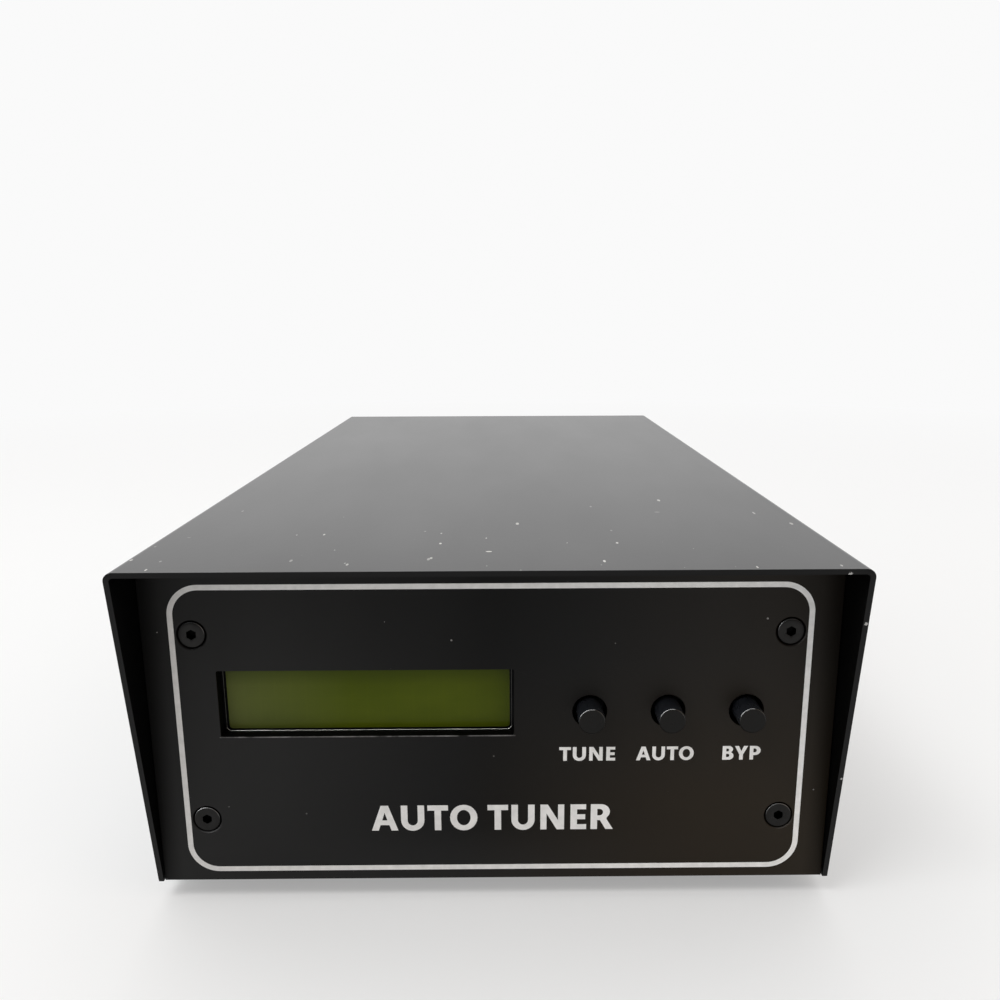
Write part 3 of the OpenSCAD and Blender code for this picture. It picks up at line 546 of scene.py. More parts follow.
def cap_finish():
    """Satin black moulding whose rounded edges have been rubbed glossy; painted shade keeps the tip dark and
    a painted bluish reflection lightens the barrel.
    """
    m = Mat("cap_black", 0.26)
    normal = m.axes(m.node("NewGeometry").outputs["Normal"])
    facing = normal[1]
    edge = m.times(m.math("COMPARE", facing, -0.62, 0.32), m.span(normal[2], -0.05, 0.35))
    tip = m.mix(m.noise(150), (0.0036, 0.0032, 0.0026), (0.0052, 0.0046, 0.0038))
    barrel = m.mix(m.noise(220), (0.011, 0.012, 0.015), (0.017, 0.019, 0.023))
    # painted light: the tip is a shaded copy of the moulding and the barrel a lighter, bluish copy that
    # stands for its reflection
    m.color(m.mix(m.math("GREATER_THAN", facing, -0.25), tip, barrel))
    m.gloss(m.times(m.span(edge, 0.0, 1.0, 0.15, 0.8), m.span(normal[2], -0.4, -0.05, 0.1, 1.0)))
    worn = m.span(m.noise(350), 0.3, 0.7, 0.26, 0.32)
    m.roughness(m.times(worn, m.span(edge, 0.0, 1.0, 1.0, 0.5)))
    m.bump(m.noise(1800, 2.0), 6e-6)
    return m.mat


def floor_finish():
    """Pale paper floor that fades into the backdrop's own tone with distance from the object."""
    m = Mat("floor_pale", 0.6, specular=0.1)
    m.color(m.mix(m.noise(3.0, 2.0), (0.86, 0.86, 0.855), (0.88, 0.88, 0.875)))
    m.bump(m.noise(200, 2.0), 2e-5)
    glow = m.node("Emission", Color=(*BACKDROP, 1.0))
    fade = m.node("MixShader")
    m.link(m.span(m.vector("LENGTH")["Value"], 0.15, 1.2, 0.35, 1.0), fade.inputs[0])
    m.link(m.bsdf.outputs[0], fade.inputs[1])
    m.link(glow.outputs[0], fade.inputs[2])
    m.link(fade.outputs[0], m.nt.nodes["Material Output"].inputs["Surface"])
    return m.mat


def make_materials():
    black = (0.0068, 0.0068, 0.007)
    return {
        "cover_paint": powder_coat("cover_powder_coat", black, True),
        "chassis_paint": powder_coat("chassis_powder_coat", shade(black, 1.1), False),
        "panel_paint": panel_finish(),
        "black_steel": screw_finish("black_oxide_steel", (0.022, 0.0215, 0.021)),
        "rim_steel": rim_finish("rolled_rim_steel", (0.5, 0.5, 0.46)),
        "zinc_steel": metal("zinc_plated_steel", (0.62, 0.63, 0.65), 0.3),
        "foot_rubber": plain("foot_rubber_black", (0.016, 0.016, 0.016), 0.75, 1200, 4e-5, 90, 0.3),
        "brass_part": metal("turned_brass", (0.72, 0.5, 0.2), 0.26, (1, 1, 6)),
        "lcd_frame": metal("display_frame_black", (0.008, 0.008, 0.0085), 0.42),
        "lcd_face": display_film(),
        "light_guide": plain("light_guide_green", (0.36, 0.5, 0.1), 0.3, 500),
        "board_green": circuit_board("board_green_mask"),
        "black_plastic": plain("moulded_black", (0.014, 0.014, 0.015), 0.48, 1500, 2e-5, 120, 0.2),
        "cap_plastic": cap_finish(),
        "white_plastic": plain("moulded_white", (0.72, 0.72, 0.68), 0.42, 900, 2e-5, 120, 0.06),
        "relay_plastic": plain("relay_blue", (0.012, 0.045, 0.17), 0.3, 1000, 2e-5, 110, 0.15),
        "mica_dip": plain("mica_dipped_brown", (0.2, 0.055, 0.018), 0.22, 350, 0.00012, 130, 0.25),
        "core_red": plain("core_red_enamel", (0.36, 0.022, 0.015), 0.3, 500, 6e-5, 70, 0.2),
        "copper_wire": wound_wire("enamelled_copper", (0.62, 0.24, 0.08)),
        "ferrite": plain("sintered_ferrite", (0.03, 0.03, 0.033), 0.55, 1600, 4e-5, 140, 0.3),
        "coax_jacket": plain("coax_tan", (0.45, 0.38, 0.24), 0.35, 600, 3e-5, 120, 0.15),
        "red_insulation": plain("wire_red", (0.42, 0.02, 0.012), 0.38, 700, 2e-5, 120, 0.12),
        "grey_insulation": ribbon_finish(),
        "black_aluminium": plain("anodised_black", (0.02, 0.02, 0.022), 0.38, 1300, 1e-5, 100, 0.2,
                                 metal=0.6),
        "capacitor_sleeve": plain("capacitor_sleeve_navy", (0.012, 0.022, 0.075), 0.28, 600, 2e-5,
                                  140, 0.15),
        "nickel_plate": metal("bright_nickel", (0.7, 0.67, 0.61), 0.2),
        "ptfe": plain("turned_ptfe", (0.78, 0.77, 0.73), 0.36, 800, 2e-5, 150, 0.05),
        "gold_contact": metal("gold_plated", (0.86, 0.6, 0.2), 0.2),
        "legend_print": legend_ink("legend_ink_silver", (0.86, 0.85, 0.83)),
    }


# --- mesh helpers

def new_object(name, mesh, slot, body="case"):
    ob = bpy.data.objects.new(name, mesh)
    scene.collection.objects.link(ob)
    mesh.materials.clear()
    mesh.materials.append(materials[slot])
    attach(ob, body)
    return ob


def bm_object(name, bm, slot, body="case", smooth=40):
    bmesh.ops.recalc_face_normals(bm, faces=bm.faces)
    mesh = bpy.data.meshes.new(name)
    bm.to_mesh(mesh)
    bm.free()
    mesh.polygons.foreach_set("use_smooth", [True] * len(mesh.polygons))
    mesh.set_sharp_from_angle(angle=math.radians(smooth))
    return new_object(name, mesh, slot, body)


def stand_in(node, name, bm, smooth=40):
    """A piece that replaces a CAD node, with its material slot and body."""
    ob = bm_object(name, bm, slot_of[node], body_of[node], smooth)
    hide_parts(node)
    return ob


def clean_copy(node):
    """A bmesh copy of a CAD node with its coplanar facets merged."""
    bm = bmesh.new()
    bm.from_mesh(frame["nodes"][node].data)
    bmesh.ops.remove_doubles(bm, verts=bm.verts, dist=1e-6)
    bmesh.ops.dissolve_limit(bm, angle_limit=math.radians(0.8), verts=bm.verts, edges=bm.edges)
    return bm


def soften(bm, width, segments=2):
    """Rounds the hard edges and removes the slivers that this leaves."""
    hard = [e for e in bm.edges if len(e.link_faces) == 2 and e.calc_face_angle(0) > math.radians(28)]
    bmesh.ops.bevel(bm, geom=hard, offset=width, offset_type="OFFSET", segments=segments, profile=0.5,
                    affect="EDGES", clamp_overlap=True)
    bmesh.ops.remove_doubles(bm, verts=bm.verts, dist=1e-7)
    bmesh.ops.triangulate(bm, faces=[f for f in bm.faces if len(f.verts) > 4])


def edged(node, name, width, segments):
    """The CAD solid with its coplanar facets merged and its hard edges rounded."""
    bm = clean_copy(node)
    soften(bm, width, segments)
    weighted = stand_in(node, name, bm).modifiers.new("normals", "WEIGHTED_NORMAL")
    weighted.keep_sharp = True


def around(count):
    """Angles evenly round a circle."""
    return [2 * math.pi * k / count for k in range(count)]


def middle(low, high):
    """x and z of the middle of a box."""
    return (low.x + high.x) / 2, (low.z + high.z) / 2


def lathe(bm, profile, center, axis, steps):
    """Turns (along, radius) pairs around the axis line through center; closes on the axis at radius 0."""
    axis = Vector(axis).normalized()
    u = axis.orthogonal().normalized()
    v = axis.cross(u)
    rings = []
    for along, radius in profile:
        base = Vector(center) + axis * along
        if radius < 1e-7:
            rings.append([bm.verts.new(base)])
        else:
            rings.append([bm.verts.new(base + radius * (math.cos(t) * u + math.sin(t) * v))
                          for t in around(steps)])
    for a, b in zip(rings, rings[1:]):
        for k in range(steps):
            n = k + 1
            quad = list(dict.fromkeys((a[k % len(a)], a[n % len(a)], b[n % len(b)], b[k % len(b)])))
            if len(quad) > 2:
                bm.faces.new(quad)


def rounded_loop(w, h, r, steps=10):
    """Corner points of a rounded rectangle about the origin, counter-clockwise."""
    points = []
    for cx, cz, start in ((1, 1, 0), (-1, 1, 90), (-1, -1, 180), (1, -1, 270)):
        for k in range(steps + 1):
            a = math.radians(start + 90 * k / steps)
            points.append((cx * (w / 2 - r) + r * math.cos(a), cz * (h / 2 - r) + r * math.sin(a)))
    return points


def loft(bm, rows, closed_rows=False):
    """Faces between closed loops that all have the same number of points."""
    made = [[bm.verts.new(p) for p in row] for row in rows]
    if closed_rows:
        made.append(made[0])
    for a, b in zip(made, made[1:]):
        for k in range(len(a)):
            n = (k + 1) % len(a)
            bm.faces.new([a[k], a[n], b[n], b[k]])
    return made


def cap_end(bm, loop, point):
    """Closes a loop with a fan around one point."""
    tip = bm.verts.new(point)
    for k in range(len(loop)):
        bm.faces.new([loop[k], loop[(k + 1) % len(loop)], tip])


def wire(bm, path, radius, sides=10):
    """Sweeps a round section along the path's points with no twist, and closes both ends."""
    points = [Vector(p) for p in path]
    ahead = [(b - a).normalized() for a, b in zip(points, points[1:])]
    across = ahead[0].orthogonal().normalized()
    angles = around(sides)
    rows = []
    for k, point in enumerate(points):
        along = (ahead[max(0, k - 1)] + ahead[min(k, len(ahead) - 1)]).normalized()
        across = (across - along * across.dot(along)).normalized()
        beside = along.cross(across)
        rows.append([point + radius * (math.cos(a) * across + math.sin(a) * beside) for a in angles])
    made = loft(bm, rows)
    cap_end(bm, made[0], points[0])
    cap_end(bm, made[-1], points[-1])


def ring_row(cx, cz, angles, radii, ys):
    return [(cx + r * math.cos(a), y, cz + r * math.sin(a)) for a, r, y in zip(angles, radii, ys)]


def thread_rows(cx, cz, angles, y0, tops, r, pitch, depth, per_turn=8):
    """Rows of a helical V thread around a line along Y, from y0 to a top that may differ with the angle."""
    count = round((max(tops) - y0) / pitch * per_turn)
    rows = []
    for j in range(count + 1):
        ys = [y0 + (top - y0) * j / count for top in tops]
        run_in = min(1.0, j / per_turn, (count - j) / per_turn)
        radii = [r - depth * abs(2 * ((y / pitch + a / (2 * math.pi)) % 1) - 1) * (0.25 + 0.75 * run_in)
                 for a, y in zip(angles, ys)]
        rows.append(ring_row(cx, cz, angles, radii, ys))
    return rows


def cut_copy(node, keep):
    """A copy of a CAD node without the faces that have a point where keep is false."""
    bm = clean_copy(node)
    bmesh.ops.delete(bm, geom=[f for f in bm.faces if not all(keep(v.co) for v in f.verts)], context="FACES")
    loose = [v for v in bm.verts if not v.link_faces]
    bmesh.ops.delete(bm, geom=loose, context="VERTS")
    return bm


def join_rims(bm):
    """Closes the narrow gaps between open rims, taken in pairs along Y."""
    edges = {e for e in bm.edges if e.is_boundary}
    rims = []
    while edges:
        rim, todo = [], [edges.pop()]
        while todo:
            rim.append(todo.pop())
            near = {e for v in rim[-1].verts for e in v.link_edges} & edges
            edges -= near
            todo += near
        rims.append(rim)
    rims.sort(key=lambda rim: sum(v.co.y for e in rim for v in e.verts) / len(rim))
    for a, b in zip(rims[::2], rims[1::2]):
        bmesh.ops.bridge_loops(bm, edges=a + b)
    bmesh.ops.triangulate(bm, faces=[f for f in bm.faces if len(f.verts) > 4])


# --- pieces

def panel_border():
    """Printed silver line around the front panel: a thin film of ink just proud of the plate."""
    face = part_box("front_panel")[0].y
    mid = case_point(0, 0, 37.95)[2]
    w, h, r, line = 144.8 * MM, 71.3 * MM, 7.2 * MM, 1.25 * MM
    outer = rounded_loop(w, h, r, 16)
    inner = rounded_loop(w - 2 * line, h - 2 * line, r - line, 16)
    proud = face - 0.03 * MM
    bm = bmesh.new()
    loft(bm, [[(x, y, mid + z) for x, z in loop] for loop, y in
              ((outer, face), (outer, proud), (inner, proud), (inner, face))], True)
    bm_object("panel_border", bm, "legend_print", smooth=30)


def display_rim():
    """Rolled bright edge of the display's metal frame, and a black strip on the glass inside it that is
    painted shade for the shadow inside the frame's lip.
    """
    low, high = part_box("lcd_bezel")
    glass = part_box("lcd_glass")[0].y
    cx, cz = middle(low, high)
    w, h, r = 66.4 * MM, 16.0 * MM, 1.0 * MM
    roll = 0.07 * MM
    bm = bmesh.new()
    rows = []
    for a in around(8):
        grow = roll * math.cos(a)
        loop = rounded_loop(w + 2 * grow, h + 2 * grow, r + grow, 8)
        rows.append([(cx + x, low.y + roll + roll * math.sin(a), cz + z) for x, z in loop])
    loft(bm, rows, True)
    rim = bm_object("display_rim", bm, "zinc_steel", smooth=60)
    rim.data.materials[0] = materials["rim_steel"]
    # painted shade: a thin black strip just in front of the glass, where the frame's lip casts its shadow
    bm = bmesh.new()
    outer = rounded_loop(w + 0.2 * MM, h + 0.2 * MM, r, 8)
    inner = rounded_loop(w - 0.9 * MM, h - 0.7 * MM, r * 0.8, 8)
    near, far = glass - 0.005 * MM, glass - 0.03 * MM
    loft(bm, [[(cx + x, y, cz + z) for x, z in loop] for loop, y in
              ((outer, near), (outer, far), (inner, far), (inner, near))], True)
    bm_object("display_shadow_strip", bm, "lcd_frame", smooth=30)


def button_cap(name):
    """Turned cap: flat tip with a small rounded edge, plain barrel, bore for the plunger."""
    low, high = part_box(name)
    cx, cz = middle(low, high)
    r = (high.x - low.x) / 2 / MM
    length = (high.y - low.y) / MM
    edge, bore, depth = 0.32, 1.52, 4.0
    profile = [(0.03, 0), (0.03, 1.4), (0.0, r - edge - 0.1)]
    profile += [(edge - edge * math.cos(math.radians(a)), r - edge + edge * math.sin(math.radians(a)))
                for a in range(0, 91, 10)]
    profile += [(length - 0.2, r), (length, r - 0.2), (length, bore), (depth, bore), (depth, 0)]
    bm = bmesh.new()
    lathe(bm, [(a * MM, b * MM) for a, b in profile], (cx, low.y, cz), (0, 1, 0), 96)
    stand_in(name, name.replace("_cap", "_button_cap"), bm, 50)


def panel_screws():
    """Countersunk screws with a chamfered head edge and a deep hex socket."""
    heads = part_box("front_panel_screws")
    face, r = heads[0].y, 3.0 * MM
    flat, shank, length = 1.06, 1.45, 8.0           # mm: half the hex socket, the shank's radius, the screw
    angles = around(48)

    def circle(radius):
        return [(radius * MM * math.cos(a), radius * MM * math.sin(a)) for a in angles]

    hexagon = []
    for a in angles:
        reach = flat / math.cos((a + math.pi / 6) % (math.pi / 3) - math.pi / 6)
        hexagon.append((reach * math.cos(a) * MM, reach * math.sin(a) * MM))
    bm = bmesh.new()
    for cx in (heads[0].x + r, heads[1].x - r):
        for cz in (heads[0].z + r, heads[1].z - r):
            rows = [(1.62, [(u * 0.3, v * 0.3) for u, v in hexagon]), (1.55, hexagon), (0.04, hexagon),
                    (0.0, circle(1.26)), (0.0, circle(2.82)), (0.04, circle(2.91)), (0.1, circle(2.98)),
                    (0.18, circle(3.0)), (1.85, circle(shank)), (length - 0.1, circle(shank)),
                    (length, circle(shank - 0.1))]
            made = loft(bm, [[(cx + u, face + y * MM, cz + v) for u, v in loop] for y, loop in rows])
            cap_end(bm, made[0], (cx, face + 1.65 * MM, cz))
            cap_end(bm, made[-1], (cx, face + length * MM, cz))
    stand_in("front_panel_screws", "panel_screw_heads", bm, 32)


def coax_socket(node, name):
    """Coaxial socket shell: flange with softened edges, helical 24 TPI thread and a notched rim."""
    low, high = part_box(node)
    cx, cz = middle(low, high)
    flange = high.y - SOCKET_BARREL
    bm = cut_copy(node, lambda co: co.y < flange + 0.5 * MM)
    soften(bm, 0.25 * MM)
    barrel, notch_half, notch_deep, rim = 7.94, 0.9, 1.2, 0.35      # mm
    half = math.degrees(math.asin(notch_half / barrel))
    angles, tops = [], []
    for quarter in range(4):
        for a, deep in [(-half + 0.1, 1), (0, 1), (half - 0.1, 1), (half + 0.1, 0)] + \
                [(half + 0.1 + k * (89.8 - 2 * half) / 14, 0) for k in range(1, 15)]:
            angles.append(math.radians(90 * quarter + a))
            tops.append(high.y - rim * MM - deep * notch_deep * MM)
    n = len(angles)
    rows = [ring_row(cx, cz, angles, [7.92 * MM] * n, [flange - 0.05 * MM] * n)]
    rows += thread_rows(cx, cz, angles, flange, tops, barrel * MM, 1.058 * MM, 0.55 * MM)
    for radius, up in ((7.3, 0.25), (7.15, rim), (6.0, rim), (5.78, 0.15)):
        rows.append(ring_row(cx, cz, angles, [radius * MM] * n, [t + up * MM for t in tops]))
    rows.append(ring_row(cx, cz, angles, [5.76 * MM] * n, [low.y] * n))
    loft(bm, rows)
    join_rims(bm)
    stand_in(node, name, bm, 35)


def ground_post():
    """Ground stud: collar and nut from the CAD solid, M4 thread on the part that stands out."""
    low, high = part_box("ground_stud")
    cx, cz = middle(low, high)
    start, r, n = high.y - 12.1 * MM, 1.98 * MM, 32
    bm = cut_copy("ground_stud", lambda co: co.y < start + 0.5 * MM)
    soften(bm, 0.15 * MM)
    angles = around(n)
    rows = [ring_row(cx, cz, angles, [r] * n, [start - 0.5 * MM] * n)]
    rows += thread_rows(cx, cz, angles, start, [high.y - 0.4 * MM] * n, r, 0.7 * MM, 0.28 * MM)
    rows.append(ring_row(cx, cz, angles, [1.45 * MM] * n, [high.y] * n))
    made = loft(bm, rows)
    cap_end(bm, made[-1], (cx, high.y, cz))
    join_rims(bm)
    stand_in("ground_stud", "ground_post", bm, 35)


def return_spring(name):
    """Helical return spring of a push button."""
    low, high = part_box(name)
    cx, cz = middle(low, high)
    r, turns, steps = 0.22 * MM, 4, 28
    radius = (high.x - low.x) / 2 - r
    rise = (high.y - low.y - 2.2 * r) / (turns * steps)
    path = []
    for k in range(turns * steps + 1):
        a = 2 * math.pi * k / steps
        path.append((cx + radius * math.cos(a), low.y + 1.1 * r + rise * k, cz + radius * math.sin(a)))
    bm = bmesh.new()
    wire(bm, path, r)
    ob = stand_in(name, name.replace("_spring", "_return_spring"), bm, 60)
    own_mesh(ob)


def toroid_windings():
    """Round enamelled wire wound on the large cores; both ends of each winding go into the board."""
    low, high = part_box("toroid_cores")
    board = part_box("main_board")[1].z
    cx, cz = middle(low, high)
    outer = (high.x - low.x) / 2
    inner, width, r = 0.626 * outer, 14 * MM, 0.65 * MM
    off = r + 0.06 * MM
    loop = rounded_loop(outer - inner + 2 * off, width + 2 * off, 1.0 * MM + off, 4)
    lengths = [math.dist(a, b) for a, b in zip(loop, loop[1:] + loop[:1])]
    done = [sum(lengths[:k]) / sum(lengths) for k in range(len(loop))]
    bm = bmesh.new()
    for i, turns in enumerate(TOROID_TURNS):
        core_y = low.y + width / 2 + i * (high.y - low.y - width) / (len(TOROID_TURNS) - 1)

        def point(turn, share, u, v):
            a = math.radians(-110 - 320 * (turn + share) / turns)
            reach = (outer + inner) / 2 + u
            return (cx + reach * math.cos(a), core_y + v, cz + reach * math.sin(a))

        path = [point(turn, share, u, v) for turn in range(turns) for share, (u, v) in zip(done, loop)]
        path.append(point(turns, 0, *loop[0]))
        (x0, y0, z0), (x1, y1, z1) = path[0], path[-1]
        bend = ((1.2, -3.0), (1.2, -0.9), (0.85, -0.3))
        lead_in = [(x0, y0 - back * MM, max(board, z0 + drop * MM)) for back, drop in bend]
        lead_out = [(x1, y1 + back * MM, max(board, z1 + drop * MM)) for back, drop in reversed(bend)]
        wire(bm, lead_in + path + lead_out, r)
    stand_in("toroid_windings", "tuning_toroid_windings", bm, 60)


def air_coils():
    """Air-wound coils of stout wire, whose ends run straight down into the board on either side."""
    low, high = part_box("air_coils")
    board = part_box("main_board")[1].z
    r, pitch, steps = 1.0 * MM, 3.6 * MM, 40
    radius = (high.x - low.x) / 2 - r
    cx, cz = (low.x + high.x) / 2, board + radius + r + 0.2 * MM
    bm = bmesh.new()
    for start, turns in AIR_COILS:
        path = []
        for k in range(round((turns - 0.5) * steps) + 1):
            a = math.pi - 2 * math.pi * k / steps
            y = low.y + r + start * MM + pitch * (k / steps + 0.25)
            path.append((cx + radius * math.cos(a), y, cz + radius * math.sin(a)))
        wire(bm, [(path[0][0], path[0][1], board)] + path + [(path[-1][0], path[-1][1], board)], r, 14)
    stand_in("air_coils", "tuning_air_coils", bm, 60)


def rocker_marks():
    """Bar and ring printed on the two ends of the rocker, following its hollow face."""
    mesh = frame["nodes"]["power_rocker"].data
    rocker = BVHTree.FromPolygons([v.co for v in mesh.vertices], [p.vertices for p in mesh.polygons])
    low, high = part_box("power_rocker")
    cx, cz = middle(low, high)

    def on_face(x, z, lift):
        place = rocker.ray_cast((x, high.y + 0.01, z), (0, -1, 0))[0]
        return (x, place.y + lift, z)

    proud, sunk = 0.03 * MM, -0.05 * MM
    bm = bmesh.new()
    rows = []
    for k in range(9):
        z = cz + (2.4 + 3.0 * k / 8) * MM
        rows.append([on_face(cx + side * 0.4 * MM, z, lift) for side, lift in
                     ((-1, sunk), (1, sunk), (1, proud), (-1, proud))])
    made = loft(bm, rows)
    cap_end(bm, made[0], on_face(cx, cz + 2.4 * MM, 0))
    cap_end(bm, made[-1], on_face(cx, cz + 5.4 * MM, 0))
    outer, inner = 1.65 * MM, 1.0 * MM
    loft(bm, [[on_face(cx + r * math.cos(a), cz - 3.9 * MM + r * math.sin(a), lift) for a in around(40)]
              for r, lift in ((outer, sunk), (outer, proud), (inner, proud), (inner, sunk))], True)
    bm_object("rocker_marks", bm, "legend_print", body_of["power_rocker"], 30)


def arc(cx, cz, rx, rz, start, end, steps=12):
    angles = [math.radians(start + (end - start) * k / steps) for k in range(steps + 1)]
    return [(cx + rx * math.cos(a), cz + rz * math.sin(a)) for a in angles]


def bowl(x0, x1, z0, z1, r):
    """Outline that is square on the left and rounded on the right."""
    return [(x0, z0)] + arc(x1 - r, (z0 + z1) / 2, r, (z1 - z0) / 2, -90, 90) + [(x0, z1)]


# Bold capital letters, one unit high: width, bearings on the left and right, outlines with the holes after
# the outer one. The equals sign stands for the ground symbol.
LETTERS = {
    "A": (0.97, 0.01, 0.01, [
        [(0, 0), (0.25, 0), (0.325, 0.22), (0.645, 0.22), (0.72, 0), (0.97, 0), (0.62, 1), (0.35, 1)],
        [(0.39, 0.41), (0.485, 0.72), (0.58, 0.41)]]),
    "B": (0.72, 0.11, 0.05, [
        [(0, 0)] + arc(0.42, 0.285, 0.3, 0.285, -90, 62) + arc(0.4, 0.755, 0.265, 0.245, -50, 90)
        + [(0, 1)],
        bowl(0.24, 0.45, 0.195, 0.43, 0.11), bowl(0.24, 0.42, 0.61, 0.815, 0.1)]),
    "C": (0.87, 0.05, 0.03, [
        arc(0.5, 0.5, 0.5, 0.515, 42, 318, 20) + arc(0.5, 0.5, 0.25, 0.31, 305, 55, 16)]),
    "D": (0.86, 0.11, 0.05, [
        [(0, 0)] + arc(0.34, 0.5, 0.52, 0.5, -90, 90, 16) + [(0, 1)],
        [(0.24, 0.19)] + arc(0.34, 0.5, 0.27, 0.31, -90, 90, 14) + [(0.24, 0.81)]]),
    "E": (0.58, 0.12, 0.05, [
        [(0, 0), (0.58, 0), (0.58, 0.2), (0.24, 0.2), (0.24, 0.4), (0.54, 0.4), (0.54, 0.6),
         (0.24, 0.6), (0.24, 0.8), (0.57, 0.8), (0.57, 1), (0, 1)]]),
    "N": (0.87, 0.11, 0.11, [
        [(0, 0), (0.225, 0), (0.225, 0.64), (0.6, 0), (0.87, 0), (0.87, 1), (0.645, 1), (0.645, 0.37),
         (0.27, 1), (0, 1)]]),
    "O": (1.00, 0.05, 0.05, [
        arc(0.5, 0.5, 0.5, 0.515, 0, 345, 23), arc(0.5, 0.5, 0.25, 0.31, 0, 345, 23)]),
    "P": (0.7, 0.11, 0.03, [
        [(0, 0), (0.24, 0), (0.24, 0.33)] + arc(0.36, 0.665, 0.34, 0.335, -90, 90) + [(0, 1)],
        bowl(0.24, 0.45, 0.53, 0.81, 0.14)]),
    "R": (0.82, 0.11, 0.01, [
        [(0, 0), (0.24, 0), (0.24, 0.36), (0.34, 0.36), (0.545, 0), (0.82, 0), (0.58, 0.4)]
        + arc(0.37, 0.7, 0.33, 0.3, -48, 90) + [(0, 1)], bowl(0.24, 0.45, 0.55, 0.81, 0.13)]),
    "T": (0.75, 0.02, 0.02, [
        [(0.255, 0), (0.495, 0), (0.495, 0.79), (0.75, 0.79), (0.75, 1), (0, 1), (0, 0.79), (0.255, 0.79)]]),
    "U": (0.85, 0.1, 0.1, [
        [(0, 1)] + arc(0.425, 0.4, 0.425, 0.415, 180, 360, 16) + [(0.85, 1), (0.61, 1)]
        + arc(0.425, 0.4, 0.185, 0.2, 360, 180, 14) + [(0.24, 1)]]),
    "X": (0.84, 0.01, 0.01, [
        [(0, 0), (0.27, 0), (0.42, 0.33), (0.57, 0), (0.84, 0), (0.56, 0.5), (0.83, 1), (0.56, 1),
         (0.42, 0.68), (0.28, 1), (0.01, 1), (0.28, 0.5)]]),
    "Y": (0.85, 0.01, 0.01, [
        [(0.305, 0), (0.545, 0), (0.545, 0.38), (0.85, 1), (0.585, 1), (0.425, 0.62), (0.265, 1), (0, 1),
         (0.305, 0.38)]]),
    " ": (0.3, 0, 0, []),
    "=": (1.00, 0, 0, [
        [(0.46, 0.54), (0, 0.54), (0, 0.44), (1, 0.44), (1, 0.54), (0.54, 0.54), (0.54, 1), (0.46, 1)],
        [(0.18, 0.22), (0.82, 0.22), (0.82, 0.32), (0.18, 0.32)],
        [(0.36, 0), (0.64, 0), (0.64, 0.1), (0.36, 0.1)]]),
}


def legend(name, words, at, cap, width, rear):
    """Printed words centred on a point of the front or rear panel, fitted to a cap height and a width."""
    ink = bpy.data.curves.new(name, "CURVE")
    ink.dimensions = "2D"
    ink.fill_mode = "BOTH"
    ink.extrude = INK
    x = 0.0
    for letter in words:
        wide, before, after, outlines = LETTERS[letter]
        x += before
        for outline in outlines:
            line = ink.splines.new("POLY")
            line.points.add(len(outline) - 1)
            for point, (u, v) in zip(line.points, outline):
                point.co = (x + u, v, 0, 1)
            line.use_cyclic_u = True
        x += wide + after
    low, high = LETTERS[words[0]][1], x - LETTERS[words[-1]][2]
    stretch = width / (high - low)
    for line in ink.splines:
        for point in line.points:
            point.co = ((point.co[0] - (low + high) / 2) * stretch, (point.co[1] - 0.5) * cap, 0, 1)
    drawn = bpy.data.objects.new(name + "_outline", ink)
    scene.collection.objects.link(drawn)
    bpy.context.view_layer.update()
    mesh = bpy.data.meshes.new_from_object(drawn.evaluated_get(bpy.context.evaluated_depsgraph_get()))
    bpy.data.objects.remove(drawn)
    mesh.name = name
    turned = Matrix.Rotation(math.pi if rear else 0, 4, "Z") @ Matrix.Rotation(math.pi / 2, 4, "X")
    mesh.transform(Matrix.Translation(at) @ turned)
    new_object(name, mesh, "legend_print")


EDGED = [
    # CAD node, name of the piece, edge radius in mm, segments
    ("top_cover", "cover_shell", 0.28, 3), ("chassis", "chassis_tray", 0.18, 2),
    ("front_panel", "panel_plate", 0.09, 2),
    ("lcd_bezel", "display_frame", 0.2, 3), ("cover_screws", "cover_screw_heads", 0.12, 2),
    ("rubber_feet", "rubber_foot_pads", 0.5, 3), ("foot_screws", "foot_screw_heads", 0.12, 2),
    ("socket_screws", "socket_screw_heads", 0.12, 2), ("socket_insulators", "socket_dielectric", 0.3, 2),
    ("socket_contacts", "socket_centre_contacts", 0.2, 2), ("dc_jack", "supply_jack", 0.3, 3),
    ("dc_jack_pin", "supply_jack_pin", 0.2, 2), ("power_switch_housing", "switch_frame", 0.4, 3),
    ("power_rocker", "switch_rocker", 0.35, 3), ("ground_washer", "ground_terminal_washer", 0.15, 2),
    ("ground_wing_nut", "ground_terminal_wing_nut", 0.3, 3),
    ("inductor_relays", "inductor_relay_cases", 0.3, 2),
    ("capacitor_relays", "capacitor_relay_cases", 0.3, 2),
    ("mica_capacitors", "mica_capacitor_bodies", 0.5, 3),
    ("electrolytic_capacitors", "electrolytic_capacitor_cans", 0.3, 2), ("swr_cores", "meter_cores", 0.5, 3),
    ("toroid_cores", "tuning_toroid_cores", 0.8, 3), ("heatsink", "regulator_heatsink", 0.2, 2),
]
SOCKET_BARREL = 11.5 * MM
TOROID_TURNS = (10, 14, 18, 23)
# start of each coil in mm from the front of the row, and its turns
AIR_COILS = ((0, 4), (20, 6), (47, 7))
INK = 0.015 * MM                            # half the thickness of the printed words
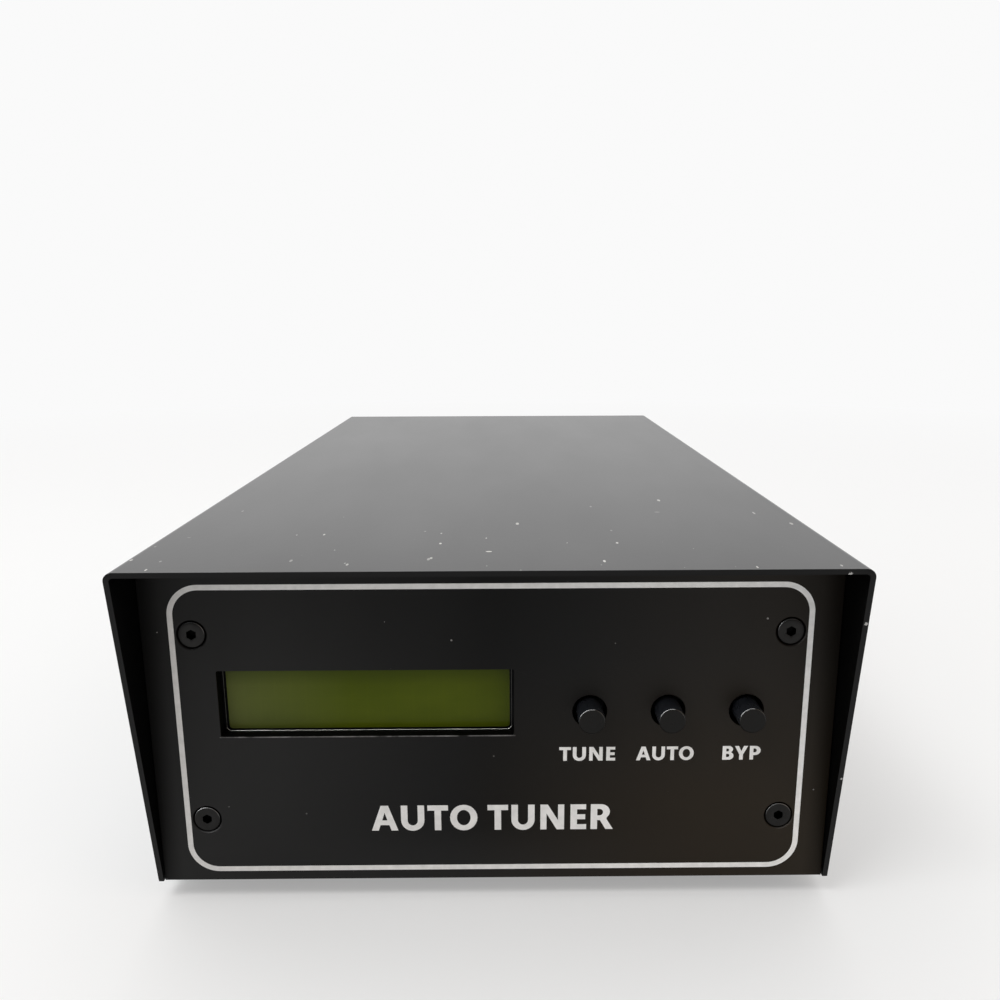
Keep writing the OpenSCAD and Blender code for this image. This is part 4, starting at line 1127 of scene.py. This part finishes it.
# name, words, x and z of their middle, height of the capitals and width of the words, in mm
FRONT_LEGENDS = [
    ("legend_tune", "TUNE", 21.9, 32.2, 3.45, 13.0), ("legend_auto", "AUTO", 39.95, 32.2, 3.45, 13.4),
    ("legend_bypass", "BYP", 57.75, 32.2, 3.45, 8.85), ("legend_type", "AUTO TUNER", -0.25, 16.0, 6.5, 57.0),
]
REAR_LEGENDS = [
    ("legend_transmitter", "TX", -48, 64.5, 3.2, 5.2), ("legend_antenna", "ANT", 48, 64.5, 3.2, 9.0),
    ("legend_supply", "DC", 14, 60.5, 3.2, 6.2), ("legend_ground", "=", 11, 22, 3.6, 4.0),
]


def build_pieces():
    panel_border()
    front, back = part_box("front_panel")[0].y - INK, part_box("chassis")[1].y + INK
    for legends, y, rear in ((FRONT_LEGENDS, front, False), (REAR_LEGENDS, back, True)):
        for name, words, x, z, cap, width in legends:
            at = case_point(x, 0, z)
            legend(name, words, (at[0], y, at[2]), cap * MM, width * MM, rear)
    display_rim()
    panel_screws()
    for node, name, width, segments in EDGED:
        edged(node, name, width * MM, segments)
    for name in ("tune", "auto", "bypass"):
        button_cap(name + "_cap")
        return_spring(name + "_spring")
    toroid_windings()
    air_coils()
    coax_socket("transmitter_socket", "transmitter_socket_shell")
    coax_socket("antenna_socket", "antenna_socket_shell")
    ground_post()
    rocker_marks()


def add_floor():
    bm = bmesh.new()
    bmesh.ops.create_grid(bm, x_segments=8, y_segments=8, size=6)
    mesh = bpy.data.meshes.new("floor")
    bm.to_mesh(mesh)
    bm.free()
    floor = bpy.data.objects.new("floor", mesh)
    mesh.materials.append(floor_finish())
    scene.collection.objects.link(floor)


add_camera()
add_world()
materials = make_materials()
slot_of = {s["node"]: s["material_slot"] for s in frame["record"]["subparts"]}
body_of = {n: b for b, nodes in frame["record"]["behaviour"]["bodies"].items() for n in nodes}
for node, ob in frame["nodes"].items():
    ob.data.materials.clear()
    ob.data.materials.append(materials[slot_of[node]])
build_pieces()
add_floor()
add_sun("sky", (-0.2, 0.1, 1.0), 0.78, 70)
add_area("softbox_key", (-0.5, -0.55, 1.05), (0, -0.12, 0.05), (0.5, 0.35), 7)
# the cards would burn out the cover's and chassis's broad faces, so only the other pieces mirror them
small = bpy.data.collections.new("mirror_the_cards")
for ob in scene.objects:
    if ob.type == "MESH" and ob.name not in ("cover_shell", "chassis_tray", "floor"):
        small.objects.link(ob)
for name, place, size in (("card_left", (-1.0, -0.42, 0.42), (0.45, 0.6)),
                          ("card_mid", (-0.76, -0.54, 0.86), (0.6, 0.6)),
                          ("card_over", (0.0, -0.6, 1.15), (1.1, 0.35))):
    add_area(name, place, (0, -0.15, 0.04), size, 12, small)
